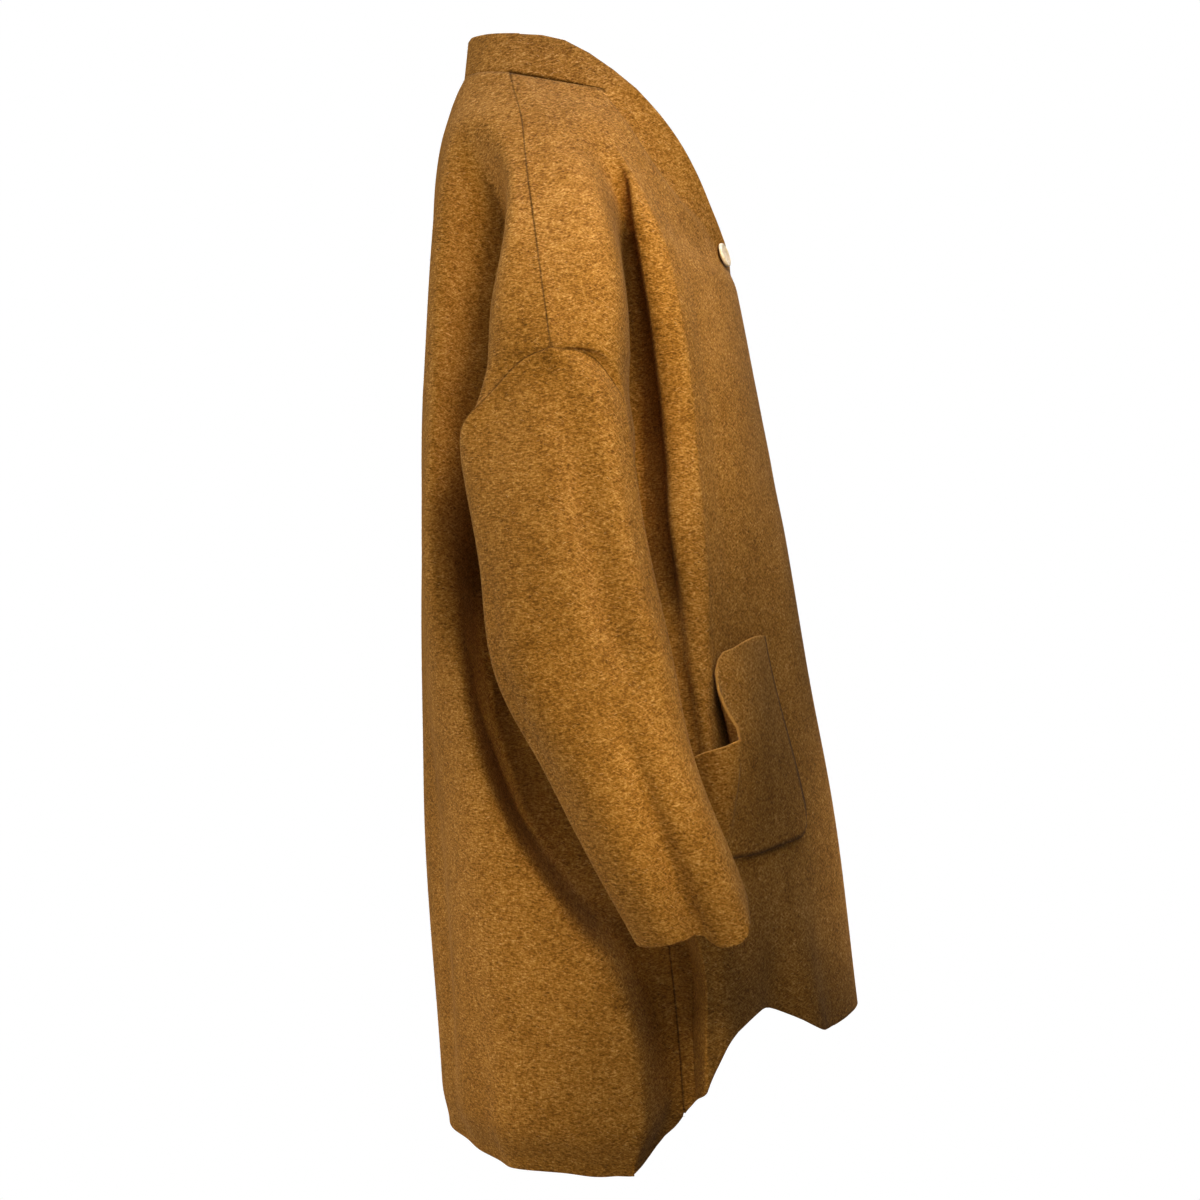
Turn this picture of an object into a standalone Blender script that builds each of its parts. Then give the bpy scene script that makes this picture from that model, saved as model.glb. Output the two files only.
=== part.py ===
"""Oversized wool coat, filled out as if worn, with nobody in it.

Metres, +Z up, the front faces -Y. The origin is on the centre plane, level with the neck points of the
shoulder seams. A drop is a distance below that level, and an x in a table is a distance out from the
centre plane, so that one table serves both sides. The tables describe the wearer's left side (+X).
"""

import bpy
import numpy as np

WALL = 0.003
SEAM_GAP = 0.0003
MITRE_MOST = 2.2
LEFT = 1.0
RIGHT = -1.0

# Levels where the outer edge of a body panel changes from one seam to the next.
DART_LEVEL = 0.016
CAP_LEVEL = 0.262
UNDERARM_LEVEL = 0.400
HEM_ZONE_LEVEL = 0.660

# Places across a front panel, from its free edge (0) to its outer seam (1).
DART_U = 0.18
RIDGE_U = 0.60
VALLEY_U = 0.75
ARM_U = 0.88
KEEL_POWER = 1.3
KEEL_ROUND = 0.018
KEEL_WAYS = (0.0, 0.1, 0.2, 0.3, 0.475, 0.65, 0.825, 1.0)
CREASE_WAY = 0.3
CHEST_BULGE = 0.004

# The left front passes under the right one at the centre.
LAP_DEPTH = 0.0046
LAP_FULL_X = 0.034
LAP_NONE_X = 0.085
LAP_START_LEVEL = 0.078
LAP_FULL_LEVEL = 0.112
LAP_CORNER_LEVEL = 0.154
LAP_CORNER_REACH = 0.021
LAP_CORNER_MORE = 1.25

# Sleeve: how far along it the armhole's shape has faded into plain rings.
SLEEVE_TOP_DROP = 0.335
SLEEVE_END_DROP = 0.720
CAP_FADE = 0.42

# Pocket: columns of the front panel it covers, its foot and its hang. Its front edge leans forward.
POCKET_FROM_U = 0.36
POCKET_FROM_FOOT_U = 0.27
POCKET_LEAN_LEVEL = 0.490
POCKET_TO_U = 0.95
POCKET_FOOT = 0.676
POCKET_CORNER = 0.026
POCKET_SAG = 0.007
POCKET_BELLY = 0.011
POCKET_STANDOFF = 0.0008
POCKET_ROWS = 7

BUTTON_LEVEL = 0.1505
BUTTON_U = 0.105
BUTTON_RADIUS = 0.0112
BUTTON_STANDOFF = 0.0003
BUTTON_SIDES = 28


def table(columns, *rows):
    """Columns of numbers by name, from rows in the order of the names."""
    return dict(zip(columns.split(), np.array(rows, dtype=float).T))


# The band that stands up round the neck, on a front: its free edge and the crease at its foot.
BAND = table(
    "level edge_x edge_y crease_x crease_y",
    (0.016, 0.0900, -0.0953, 0.0925, -0.0668),
    (0.041, 0.0815, -0.1190, 0.0940, -0.0845),
    (0.062, 0.0710, -0.1355, 0.0920, -0.0990),
    (0.083, 0.0570, -0.1490, 0.0860, -0.1140),
    (0.110, 0.0360, -0.1635, 0.0690, -0.1370),
    (0.127, 0.0210, -0.1725, 0.0480, -0.1560),
    (0.141, 0.0030, -0.1797, 0.0285, -0.1665),
    (0.152, -0.0080, -0.1828, 0.0230, -0.1715),
    (0.164, -0.0160, -0.1857, 0.0230, -0.1770),
    (0.180, -0.0200, -0.1890, 0.0350, -0.1850),
)
BAND_LAST_LEVEL = 0.152
BAND_NONE_LEVEL = 0.182
LAP_X = 0.020

# Front sections: foremost point, the ridge of the drape, the valley beside the arm, the arm's front.
FRONT = table(
    "level front_y ridge_x ridge_y valley_x valley_y arm_x arm_y",
    (0.016, -0.0953, 0.1000, -0.0250, 0.1020, -0.0120, 0.1025, 0.0000),
    (0.050, -0.1260, 0.1260, -0.0680, 0.1360, -0.0450, 0.1400, -0.0200),
    (0.083, -0.1490, 0.1430, -0.0900, 0.1520, -0.0660, 0.1660, -0.0350),
    (0.110, -0.1635, 0.1530, -0.1050, 0.1580, -0.0780, 0.1870, -0.0450),
    (0.141, -0.1797, 0.1600, -0.1230, 0.1570, -0.0890, 0.2070, -0.0570),
    (0.168, -0.1870, 0.1630, -0.1295, 0.1530, -0.0930, 0.2190, -0.0630),
    (0.220, -0.1990, 0.1680, -0.1360, 0.1450, -0.0960, 0.2340, -0.0700),
    (0.262, -0.2075, 0.1700, -0.1380, 0.1370, -0.0960, 0.2400, -0.0750),
    (0.277, -0.2105, 0.1700, -0.1390, 0.1350, -0.0960, 0.2360, -0.0790),
    (0.295, -0.2138, 0.1705, -0.1410, 0.1340, -0.0970, 0.2240, -0.0840),
    (0.327, -0.2198, 0.1720, -0.1450, 0.1370, -0.1000, 0.1950, -0.0910),
    (0.358, -0.2250, 0.1750, -0.1490, 0.1450, -0.1050, 0.1660, -0.0910),
    (0.400, -0.2330, 0.1780, -0.1500, 0.1560, -0.1090, 0.1650, -0.0720),
    (0.440, -0.2396, 0.1815, -0.1510, 0.1700, -0.1130, 0.1770, -0.0800),
    (0.520, -0.2530, 0.1880, -0.1525, 0.1900, -0.1270, 0.1940, -0.1050),
    (0.640, -0.2746, 0.1940, -0.1660, 0.2040, -0.1420, 0.2085, -0.1240),
    (0.760, -0.2920, 0.1980, -0.1760, 0.2100, -0.1530, 0.2140, -0.1380),
    (0.880, -0.3085, 0.2010, -0.1830, 0.2120, -0.1610, 0.2160, -0.1470),
    (0.960, -0.3190, 0.2020, -0.1870, 0.2130, -0.1650, 0.2165, -0.1510),
)

# Back sections: centre back, the blade, the valley beside the arm, the arm's back.
BACK = table(
    "level centre_y blade_x blade_y valley_x valley_y arm_x arm_y",
    (0.016, 0.0697, 0.0520, 0.0620, 0.0730, 0.0500, 0.0910, 0.0320),
    (0.050, 0.0790, 0.0800, 0.0680, 0.1040, 0.0510, 0.1250, 0.0285),
    (0.083, 0.0840, 0.0940, 0.0710, 0.1240, 0.0440, 0.1520, 0.0195),
    (0.110, 0.0860, 0.1030, 0.0720, 0.1370, 0.0350, 0.1740, 0.0135),
    (0.150, 0.0873, 0.1100, 0.0730, 0.1430, 0.0290, 0.1985, 0.0115),
    (0.220, 0.0903, 0.1180, 0.0760, 0.1420, 0.0350, 0.2200, 0.0225),
    (0.262, 0.0938, 0.1210, 0.0780, 0.1400, 0.0420, 0.2240, 0.0280),
    (0.277, 0.0950, 0.1225, 0.0785, 0.1410, 0.0440, 0.2220, 0.0310),
    (0.295, 0.0959, 0.1240, 0.0790, 0.1425, 0.0460, 0.2150, 0.0370),
    (0.327, 0.0970, 0.1270, 0.0800, 0.1460, 0.0500, 0.1920, 0.0480),
    (0.358, 0.0976, 0.1300, 0.0805, 0.1550, 0.0540, 0.1740, 0.0450),
    (0.400, 0.0981, 0.1320, 0.0800, 0.1640, 0.0520, 0.1750, 0.0190),
    (0.440, 0.0981, 0.1340, 0.0790, 0.1710, 0.0490, 0.1840, 0.0050),
    (0.520, 0.0978, 0.1360, 0.0750, 0.1790, 0.0410, 0.1965, -0.0150),
    (0.640, 0.0944, 0.1360, 0.0670, 0.1850, 0.0330, 0.2100, -0.0300),
    (0.760, 0.0880, 0.1330, 0.0580, 0.1870, 0.0265, 0.2170, -0.0400),
    (0.880, 0.0820, 0.1270, 0.0500, 0.1860, 0.0205, 0.2200, -0.0450),
    (0.960, 0.0780, 0.1250, 0.0455, 0.1850, 0.0180, 0.2205, -0.0470),
)
BLADE_U = 0.45
BACK_VALLEY_U = 0.65
BACK_ARM_U = 0.82

# Seams, by the level of the section that ends on them.
SHOULDER = table(
    "level x y drop",
    (0.000, 0.0850, 0.0150, 0.000),
    (0.016, 0.1010, 0.0115, 0.016),
    (0.050, 0.1350, 0.0030, 0.050),
    (0.083, 0.1640, -0.0010, 0.083),
    (0.110, 0.1840, -0.0040, 0.110),
    (0.150, 0.2110, -0.0095, 0.150),
    (0.200, 0.2385, -0.0165, 0.200),
    (0.262, 0.2600, -0.0250, 0.262),
)
ARMHOLE = table(
    "level front_x front_y front_drop back_x back_y back_drop",
    (0.262, 0.2600, -0.0250, 0.2620, 0.2600, -0.0250, 0.2620),
    (0.277, 0.2525, -0.0550, 0.2670, 0.2490, -0.0020, 0.2710),
    (0.295, 0.2430, -0.0775, 0.2915, 0.2400, 0.0225, 0.2950),
    (0.327, 0.2280, -0.0870, 0.3270, 0.2270, 0.0490, 0.3270),
    (0.358, 0.1900, -0.0830, 0.3620, 0.1920, 0.0370, 0.3640),
    (0.400, 0.1780, -0.0220, 0.4000, 0.1780, -0.0220, 0.4000),
)
SIDE = table(
    "level x y",
    (0.400, 0.1780, -0.0220),
    (0.440, 0.1860, -0.0390),
    (0.520, 0.1985, -0.0750),
    (0.640, 0.2105, -0.1040),
    (0.760, 0.2155, -0.1230),
    (0.880, 0.2170, -0.1335),
    (0.960, 0.2170, -0.1370),
)

# Hems, from the front edge and from the centre back to the side seam.
FRONT_HEM = table(
    "u drop",
    (0.00, 0.829),
    (0.15, 0.831),
    (0.24, 0.8345),
    (0.32, 0.8360),
    (0.40, 0.8180),
    (0.48, 0.8040),
    (0.60, 0.8145),
    (0.66, 0.8250),
    (0.72, 0.8370),
    (0.80, 0.8530),
    (0.88, 0.8700),
    (1.00, 0.8860),
)
BACK_HEM = table(
    "u drop",
    (0.00, 0.9350),
    (0.30, 0.9350),
    (0.50, 0.9350),
    (0.65, 0.9325),
    (0.78, 0.9290),
    (0.88, 0.9300),
    (0.95, 0.9230),
    (0.98, 0.9040),
    (1.00, 0.8860),
)

# Back neckline and the collar's free edge, as shares of the way from the centre back.
NECKLINE = table(
    "share x y drop",
    (0.00, 0.000, 0.0605, -0.0110),
    (0.35, 0.036, 0.0550, -0.0095),
    (0.70, 0.067, 0.0370, -0.0050),
    (1.00, 0.085, 0.0150, 0.0000),
)
COLLAR = table(
    "share x y drop",
    (0.00, 0.0000, 0.0565, -0.0490),
    (0.20, 0.0340, 0.0490, -0.0440),
    (0.40, 0.0620, 0.0260, -0.0395),
    (0.55, 0.0745, -0.0030, -0.0355),
    (0.70, 0.0800, -0.0330, -0.0285),
    (0.85, 0.0850, -0.0650, -0.0090),
    (1.00, 0.0900, -0.0953, 0.0160),
)
COLLAR_NECK_SHARE = 0.50

# Largest hanging folds: where each starts and ends across the panel and down it, its width and depth.
FRONT_FOLDS = table(
    "from_u to_u from_level to_level width_u depth",
    (0.37, 0.36, 0.690, 0.860, 0.050, 0.009),
    (0.46, 0.47, 0.690, 0.860, 0.055, -0.012),
)
BACK_FOLDS = table(
    "from_u to_u from_level to_level width_u depth",
    (0.36, 0.28, 0.420, 0.940, 0.110, -0.006),
    (0.62, 0.56, 0.520, 0.940, 0.080, -0.006),
)

# Tuck under the arm: how far the side falls in, where that starts behind and ends in front, and over what width.
TUCK = table(
    "level depth back_y back_width front_y front_width",
    (0.400, 0.000, 0.056, 0.030, -0.140, 0.032),
    (0.440, 0.022, 0.054, 0.030, -0.140, 0.032),
    (0.480, 0.034, 0.050, 0.030, -0.134, 0.032),
    (0.520, 0.043, 0.045, 0.030, -0.118, 0.032),
    (0.600, 0.050, 0.027, 0.032, -0.112, 0.032),
    (0.640, 0.050, 0.012, 0.034, -0.114, 0.030),
    (0.700, 0.044, -0.028, 0.036, -0.134, 0.024),
    (0.760, 0.032, -0.076, 0.036, -0.155, 0.017),
    (0.820, 0.020, -0.098, 0.032, -0.157, 0.016),
    (0.960, 0.014, -0.104, 0.032, -0.158, 0.016),
)

# Sleeve rings: centre and half sizes, front to back and outwards.
SLEEVE = table(
    "drop x y deep wide",
    (0.335, 0.226, -0.0195, 0.0640, 0.0450),
    (0.4235, 0.249, -0.0340, 0.0665, 0.0465),
    (0.501, 0.264, -0.0493, 0.0690, 0.0475),
    (0.579, 0.272, -0.0763, 0.0590, 0.0470),
    (0.658, 0.2745, -0.1105, 0.0515, 0.0430),
    (0.720, 0.272, -0.1390, 0.0463, 0.0380),
)
SLEEVE_FOLDS = table(
    "from_angle to_angle from_share to_share width_angle depth",
    (18.0, -3.0, 0.50, 1.10, 17.0, -0.013),
    (52.0, 44.0, 0.55, 1.10, 22.0, 0.004),
)

# Cuff edge: how far it runs past the plain ring at each angle, from just behind the inner side round to it.
CUFF = table(
    "angle past",
    (-200.0, -0.003),
    (-135.0, -0.005),
    (-90.0, -0.007),
    (-45.0, -0.002),
    (-12.0, 0.008),
    (2.0, 0.007),
    (22.0, 0.016),
    (50.0, 0.019),
    (80.0, 0.011),
    (110.0, 0.003),
    (160.0, -0.003),
    (200.0, -0.003),
)
CUFF_FROM_SHARE = 0.70

# Pocket mouth: share of the way round the pocket, its drop, how far it gapes and how far it is drawn forward.
MOUTH = table(
    "share drop gape drawn",
    (0.000, 0.4940, 0.0000, 0.000),
    (0.158, 0.4945, 0.0015, 0.000),
    (0.320, 0.4980, 0.0015, 0.000),
    (0.459, 0.5040, 0.0015, 0.000),
    (0.564, 0.5130, 0.0015, -0.003),
    (0.629, 0.5380, 0.0020, -0.007),
    (0.680, 0.5790, 0.0190, 0.004),
    (0.720, 0.5850, 0.0180, 0.008),
    (0.767, 0.5940, 0.0120, 0.001),
    (0.830, 0.6000, 0.0060, 0.000),
    (1.000, 0.6060, 0.0000, 0.000),
)

# Profile of the turned button, from the middle of its face to the foot of its shank.
BUTTON_PROFILE = table(
    "radius_share height",
    (0.00, 0.0050),
    (0.55, 0.0048),
    (0.84, 0.0043),
    (0.96, 0.0036),
    (1.00, 0.0028),
    (0.96, 0.0020),
    (0.80, 0.0015),
    (0.30, 0.0013),
    (0.28, 0.0000),
    (0.00, 0.0000),
)

# Mesh stations: levels of the sections, then shares of the hem zone, and places across each panel.
NECK_STEPS = (0.25, 0.50, 0.75)
SHOULDER_LEVELS = (0.016, 0.033, 0.052, 0.072, 0.092, 0.112, 0.132, 0.150, 0.172, 0.200, 0.232)
ARMHOLE_LEVELS = (0.262, 0.268, 0.275, 0.284, 0.295, 0.309, 0.327, 0.343, 0.358, 0.374, 0.388)
BODY_LEVELS = (0.400, 0.425, 0.455, 0.490, 0.525, 0.560, 0.600, 0.640)
HEM_SHARES = (0.08, 0.30, 0.53, 0.77, 1.00)
FRONT_US = (0.0, 0.06, 0.12, 0.18, 0.24, 0.30, 0.36, 0.42, 0.48)
FRONT_US += (0.53, 0.565, 0.59, 0.62, 0.66, 0.72, 0.80, 0.88, 0.95, 1.0)
BACK_US = (0.0, 0.14, 0.27, 0.38, 0.48, 0.57, 0.65, 0.73, 0.82, 0.90, 0.955, 1.0)
SLEEVE_SHARES = (0.0, 0.05, 0.11, 0.18, 0.26, 0.35, 0.45, 0.55, 0.65, 0.74, 0.83, 0.92, 1.0)

WOOL = ("wool", (0.33, 0.155, 0.045, 1.0), 0.95)
BUTTON_CREAM = ("button_cream", (0.80, 0.66, 0.40, 1.0), 0.35)


def ease(share):
    """A share of 0 to 1 with soft ends."""
    held = np.clip(share, 0.0, 1.0)
    return held * held * (3.0 - 2.0 * held)


def curve(stations, values, at):
    """A smooth line through values at stations. The values may differ from one reading to the next."""
    stations = np.asarray(stations, dtype=float)
    at = np.clip(np.atleast_1d(np.asarray(at, dtype=float)), stations[0], stations[-1])
    values = np.asarray(values, dtype=float)
    shared = values.ndim == 1
    axis = 0 if shared else 1
    slopes = np.gradient(values, stations, axis=axis)
    left = np.clip(np.searchsorted(stations, at, side="right") - 1, 0, len(stations) - 2)
    span = stations[left + 1] - stations[left]
    t = (at - stations[left]) / span
    if shared:
        ends = values[left], values[left + 1], slopes[left], slopes[left + 1]
    else:
        each = np.arange(len(at))
        ends = (
            values[each, left],
            values[each, left + 1],
            slopes[each, left],
            slopes[each, left + 1],
        )
        t = t[:, None]
        span = span[:, None]
    rise = t * t * (3.0 - 2.0 * t)
    start_pull = t * (1.0 - t) ** 2 * span
    end_pull = -t * t * (1.0 - t) * span
    return ends[0] * (1.0 - rise) + ends[1] * rise + ends[2] * start_pull + ends[3] * end_pull


def read(columns, key, at):
    """Every column of a table read at the same places of its key column."""
    return {name: curve(columns[key], column, at) for name, column in columns.items()}


def seam_points(levels, panel):
    """Where the sections at these levels end: on the shoulder, armhole or side seam."""
    levels = np.atleast_1d(np.asarray(levels, dtype=float))
    found = np.zeros((len(levels), 3))
    shoulder = levels <= CAP_LEVEL
    side = levels >= UNDERARM_LEVEL
    arm = ~shoulder & ~side
    at = read(SHOULDER, "level", levels[shoulder])
    found[shoulder] = np.column_stack((at["x"], at["y"], -at["drop"]))
    at = read(ARMHOLE, "level", levels[arm])
    found[arm] = np.column_stack((at[panel + "_x"], at[panel + "_y"], -at[panel + "_drop"]))
    at = read(SIDE, "level", levels[side])
    found[side] = np.column_stack((at["x"], at["y"], -levels[side]))
    return found


def fold_lift(folds, u, level):
    """How far the hanging folds move the cloth out at places across and down a panel."""
    lift = np.zeros(len(u))
    for from_u, to_u, start, end, width, depth in zip(*folds.values()):
        way = np.clip((level - start) / (end - start), 0.0, 1.0)
        centre = from_u + (to_u - from_u) * way
        lift += depth * ease(way) * np.exp(-(((u - centre) / width) ** 2))
    return lift


def keel(x):
    """How far the front falls back at a distance from the centre plane, in its own measure."""
    return (x * x + KEEL_ROUND ** 2) ** (0.5 * KEEL_POWER) - KEEL_ROUND ** KEEL_POWER


def plain_front(levels, us):
    """Points of a front panel without its hanging folds."""
    at = read(FRONT, "level", levels)
    band = read(BAND, "level", levels)
    below = ease((levels - BAND_LAST_LEVEL) / (BAND_NONE_LEVEL - BAND_LAST_LEVEL))
    stations = []
    points = []
    for way in KEEL_WAYS:
        keel_x = -LAP_X + (at["ridge_x"] + LAP_X) * way
        keel_y = at["front_y"] + (at["ridge_y"] - at["front_y"]) * keel(keel_x) / keel(at["ridge_x"])
        if way <= CREASE_WAY:
            up = way / CREASE_WAY
            band_x = band["edge_x"] + (band["crease_x"] - band["edge_x"]) * up
            band_y = band["edge_y"] + (band["crease_y"] - band["edge_y"]) * up
        else:
            up = (way - CREASE_WAY) / (1.0 - CREASE_WAY)
            band_x = band["crease_x"] + (at["ridge_x"] - band["crease_x"]) * up
            band_y = band["crease_y"] + (at["ridge_y"] - band["crease_y"]) * up
            band_y = band_y - CHEST_BULGE * np.sin(np.pi * up)
        x = band_x + (keel_x - band_x) * below
        y = band_y + (keel_y - band_y) * below
        stations.append(way * RIDGE_U)
        points.append(np.column_stack((x, y, -levels)))
    seam = seam_points(levels, "front")
    arm_z = 0.6 * seam[:, 2] - 0.4 * levels
    points.append(np.column_stack((at["valley_x"], at["valley_y"], -levels)))
    points.append(np.column_stack((at["arm_x"], at["arm_y"], arm_z)))
    points.append(seam)
    stations += [VALLEY_U, ARM_U, 1.0]
    return curve(stations, np.stack(points, axis=1), us)


def plain_back(levels, us):
    """Points of the left half of the back panel without its hanging folds."""
    at = read(BACK, "level", levels)
    seam = seam_points(levels, "back")
    arm_z = 0.6 * seam[:, 2] - 0.4 * levels
    blade = np.column_stack((at["blade_x"], at["blade_y"], -levels))
    centre = np.column_stack((np.zeros(len(levels)), at["centre_y"], -levels))
    middle = 0.5 * (blade + centre)
    middle[:, 1] = at["centre_y"] - 0.25 * (at["centre_y"] - at["blade_y"])
    mirrored = blade * (-1.0, 1.0, 1.0)
    mirrored_middle = middle * (-1.0, 1.0, 1.0)
    valley = np.column_stack((at["valley_x"], at["valley_y"], -levels))
    arm = np.column_stack((at["arm_x"], at["arm_y"], arm_z))
    points = (mirrored, mirrored_middle, centre, middle, blade, valley, arm, seam)
    half = 0.5 * BLADE_U
    stations = (-BLADE_U, -half, 0.0, half, BLADE_U, BACK_VALLEY_U, BACK_ARM_U, 1.0)
    return curve(stations, np.stack(points, axis=1), us)


def folded(plain, folds, levels, us, turn):
    """Panel points with the hanging folds, moved square to the section."""
    points = plain(levels, us)
    ahead = plain(levels, np.minimum(us + 0.004, 1.0))
    behind = plain(levels, np.maximum(us - 0.004, 0.0))
    run = ahead - behind
    out = np.column_stack((run[:, 1], -run[:, 0])) * turn
    out /= np.linalg.norm(out, axis=1)[:, None]
    points[:, :2] += out * fold_lift(folds, us, levels)[:, None]
    tuck = read(TUCK, "level", levels)
    behind_share = ease((tuck["back_y"] - points[:, 1]) / tuck["back_width"])
    front_share = ease((points[:, 1] - tuck["front_y"]) / tuck["front_width"])
    points[:, 0] -= tuck["depth"] * behind_share * front_share
    return points


def leaned(us, levels):
    """Places across a front panel, with the column at the pocket's front edge leaning as the pocket does."""
    way = np.clip((levels - POCKET_LEAN_LEVEL) / (POCKET_FOOT - POCKET_LEAN_LEVEL), 0.0, 1.0)
    edge = POCKET_FROM_U + (POCKET_FROM_FOOT_U - POCKET_FROM_U) * way
    near = DART_U + (us - DART_U) * (edge - DART_U) / (POCKET_FROM_U - DART_U)
    far = edge + (us - POCKET_FROM_U) * (RIDGE_U - edge) / (RIDGE_U - POCKET_FROM_U)
    moved = np.where(us < POCKET_FROM_U, near, far)
    return np.where((us > DART_U) & (us < RIDGE_U), moved, us)


def panel_levels(us, hem):
    """Levels of the points of a panel: whole sections first, then rows that turn into the hem."""
    whole = SHOULDER_LEVELS + ARMHOLE_LEVELS + BODY_LEVELS
    rows = [np.full(len(us), level) for level in whole]
    foot = curve(hem["u"], hem["drop"], us)
    rows += [HEM_ZONE_LEVEL + (foot - HEM_ZONE_LEVEL) * share for share in HEM_SHARES]
    return np.array(rows)


class Sheet:
    """The outer face of one cloth piece: points, faces and the seam points it shares with others."""

    def __init__(self):
        self.points = []
        self.faces = []
        self.seams = []

    def add(self, points):
        first = len(self.points)
        self.points += [np.array(point, dtype=float) for point in points]
        return list(range(first, first + len(points)))

    def join(self, upper, lower, flipped):
        """Faces between two rows of points. A point shared by both rows leaves a triangle."""
        for place in range(len(upper) - 1):
            ring = [upper[place], lower[place], lower[place + 1], upper[place + 1]]
            if flipped:
                ring[1:] = ring[:0:-1]
            kept = [corner for spot, corner in enumerate(ring) if corner != ring[spot - 1]]
            self.faces.append(tuple(kept))

    def mark(self, name, vertex):
        self.seams.append((name, vertex))

    def mirror(self):
        for point in self.points:
            point[0] = -point[0]
        self.faces = [face[:1] + face[:0:-1] for face in self.faces]

    def weighted_normals(self):
        """Sums of the directions of the faces round each point, by the angle each face has there."""
        points = np.array(self.points)
        found = np.zeros_like(points)
        for face in self.faces:
            square = np.cross(points[face[2]] - points[face[0]], points[face[-1]] - points[face[1]])
            square /= np.linalg.norm(square)
            for place, corner in enumerate(face):
                ahead = points[face[(place + 1) % len(face)]] - points[corner]
                behind = points[face[place - 1]] - points[corner]
                cosine = ahead @ behind / (np.linalg.norm(ahead) * np.linalg.norm(behind))
                found[corner] += square * np.arccos(np.clip(cosine, -1.0, 1.0))
        return found

    def normals(self):
        found = self.weighted_normals()
        return found / np.linalg.norm(found, axis=1)[:, None]

    def pulls(self):
        """The direction from each point into the faces that it belongs to."""
        points = np.array(self.points)
        found = np.zeros_like(points)
        for face in self.faces:
            middle = points[list(face)].mean(axis=0)
            for corner in face:
                away = middle - points[corner]
                found[corner] += away / np.linalg.norm(away)
        return found / np.linalg.norm(found, axis=1)[:, None]


def side_name(side):
    return "left" if side == LEFT else "right"


def front_sheet(side):
    """A front panel with its half of the collar, slit along the neck dart."""
    sheet = Sheet()
    us = np.array(FRONT_US)
    foot_us = leaned(us, np.full(len(us), POCKET_FOOT))
    levels = panel_levels(foot_us, FRONT_HEM)
    flat_levels = levels.ravel()
    flat_us = leaned(np.tile(us, len(levels)), flat_levels)
    points = folded(plain_front, FRONT_FOLDS, flat_levels, flat_us, 1.0)
    if side == LEFT:
        near = ease((LAP_NONE_X - points[:, 0]) / (LAP_NONE_X - LAP_FULL_X))
        below = ease((flat_levels - LAP_START_LEVEL) / (LAP_FULL_LEVEL - LAP_START_LEVEL))
        corner = np.exp(-(((flat_levels - LAP_CORNER_LEVEL) / LAP_CORNER_REACH) ** 2))
        points[:, 1] += LAP_DEPTH * near * below * (1.0 + LAP_CORNER_MORE * corner)
    grid = points.reshape(len(levels), len(us), 3)
    rows = [sheet.add(row) for row in grid]
    for upper, lower in zip(rows, rows[1:]):
        sheet.join(upper, lower, False)
    dart = int(np.argmin(np.abs(us - DART_U)))
    neck = seam_points(0.0, "front")[0]
    top = grid[0]

    wedge_pole = sheet.add([neck])[0]
    wedge = [[wedge_pole] * (len(us) - dart)]
    across = (us[dart:] - us[dart]) / (1.0 - us[dart])
    for step in NECK_STEPS:
        row = neck + (top[dart:] - neck) * step
        seam = seam_points(step * DART_LEVEL, "front")[0]
        row += np.outer(across, seam - row[-1])
        wedge.append(sheet.add(row))
    wedge.append(rows[0][dart:])
    for upper, lower in zip(wedge, wedge[1:]):
        sheet.join(upper, lower, False)

    shares = np.array(BACK_US)
    low = neckline(shares)
    low = np.vstack((low, [neck + (top[dart] - neck) * step for step in NECK_STEPS]))
    collar_shares = np.concatenate((
        shares * COLLAR_NECK_SHARE,
        COLLAR_NECK_SHARE + np.array(NECK_STEPS) * (1.0 - COLLAR_NECK_SHARE),
    ))
    at = read(COLLAR, "share", collar_shares)
    high = np.column_stack((at["x"], at["y"], -at["drop"]))
    strip = []
    down = us[: dart + 1] / DART_U
    for low_point, high_point in zip(low, high):
        strip.append(sheet.add(high_point + np.outer(down, low_point - high_point)))
    strip.append(rows[0][: dart + 1])
    for upper, lower in zip(strip, strip[1:]):
        sheet.join(upper, lower, False)

    name = side_name(side)
    for place, vertex in enumerate(strip[0]):
        sheet.mark(("nape", "both") if place == dart else ("collar", place), vertex)
    for place in range(1, len(shares) - 1):
        sheet.mark(("nape", name, place), strip[place][-1])
    sheet.mark(("neck", name), strip[len(shares) - 1][-1])
    sheet.mark(("neck", name), wedge_pole)
    for place in range(1, len(wedge) - 1):
        sheet.mark(("dart", name, place), wedge[place][0])
        sheet.mark(("dart", name, place), strip[len(shares) - 1 + place][-1])
        sheet.mark(("wedge", name, place), wedge[place][-1])
    mark_outer_seam(sheet, rows, -1, name, "front")
    sheet.front_rows = rows
    sheet.front_levels = levels
    if side == RIGHT:
        sheet.mirror()
    return sheet


def mark_outer_seam(sheet, rows, column, name, panel):
    """Names the points of a panel's outer edge, so that its neighbours find them."""
    cap = len(SHOULDER_LEVELS)
    underarm = cap + len(ARMHOLE_LEVELS)
    for place, row in enumerate(rows):
        if place == cap:
            key = ("cap", name)
        elif place == underarm:
            key = ("underarm", name)
        elif cap < place < underarm:
            key = ("armhole", name, panel, place - cap)
        else:
            key = ("seam", name, place)
        sheet.mark(key, row[column])


def neckline(shares):
    at = read(NECKLINE, "share", shares)
    return np.column_stack((at["x"], at["y"], -at["drop"]))


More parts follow.
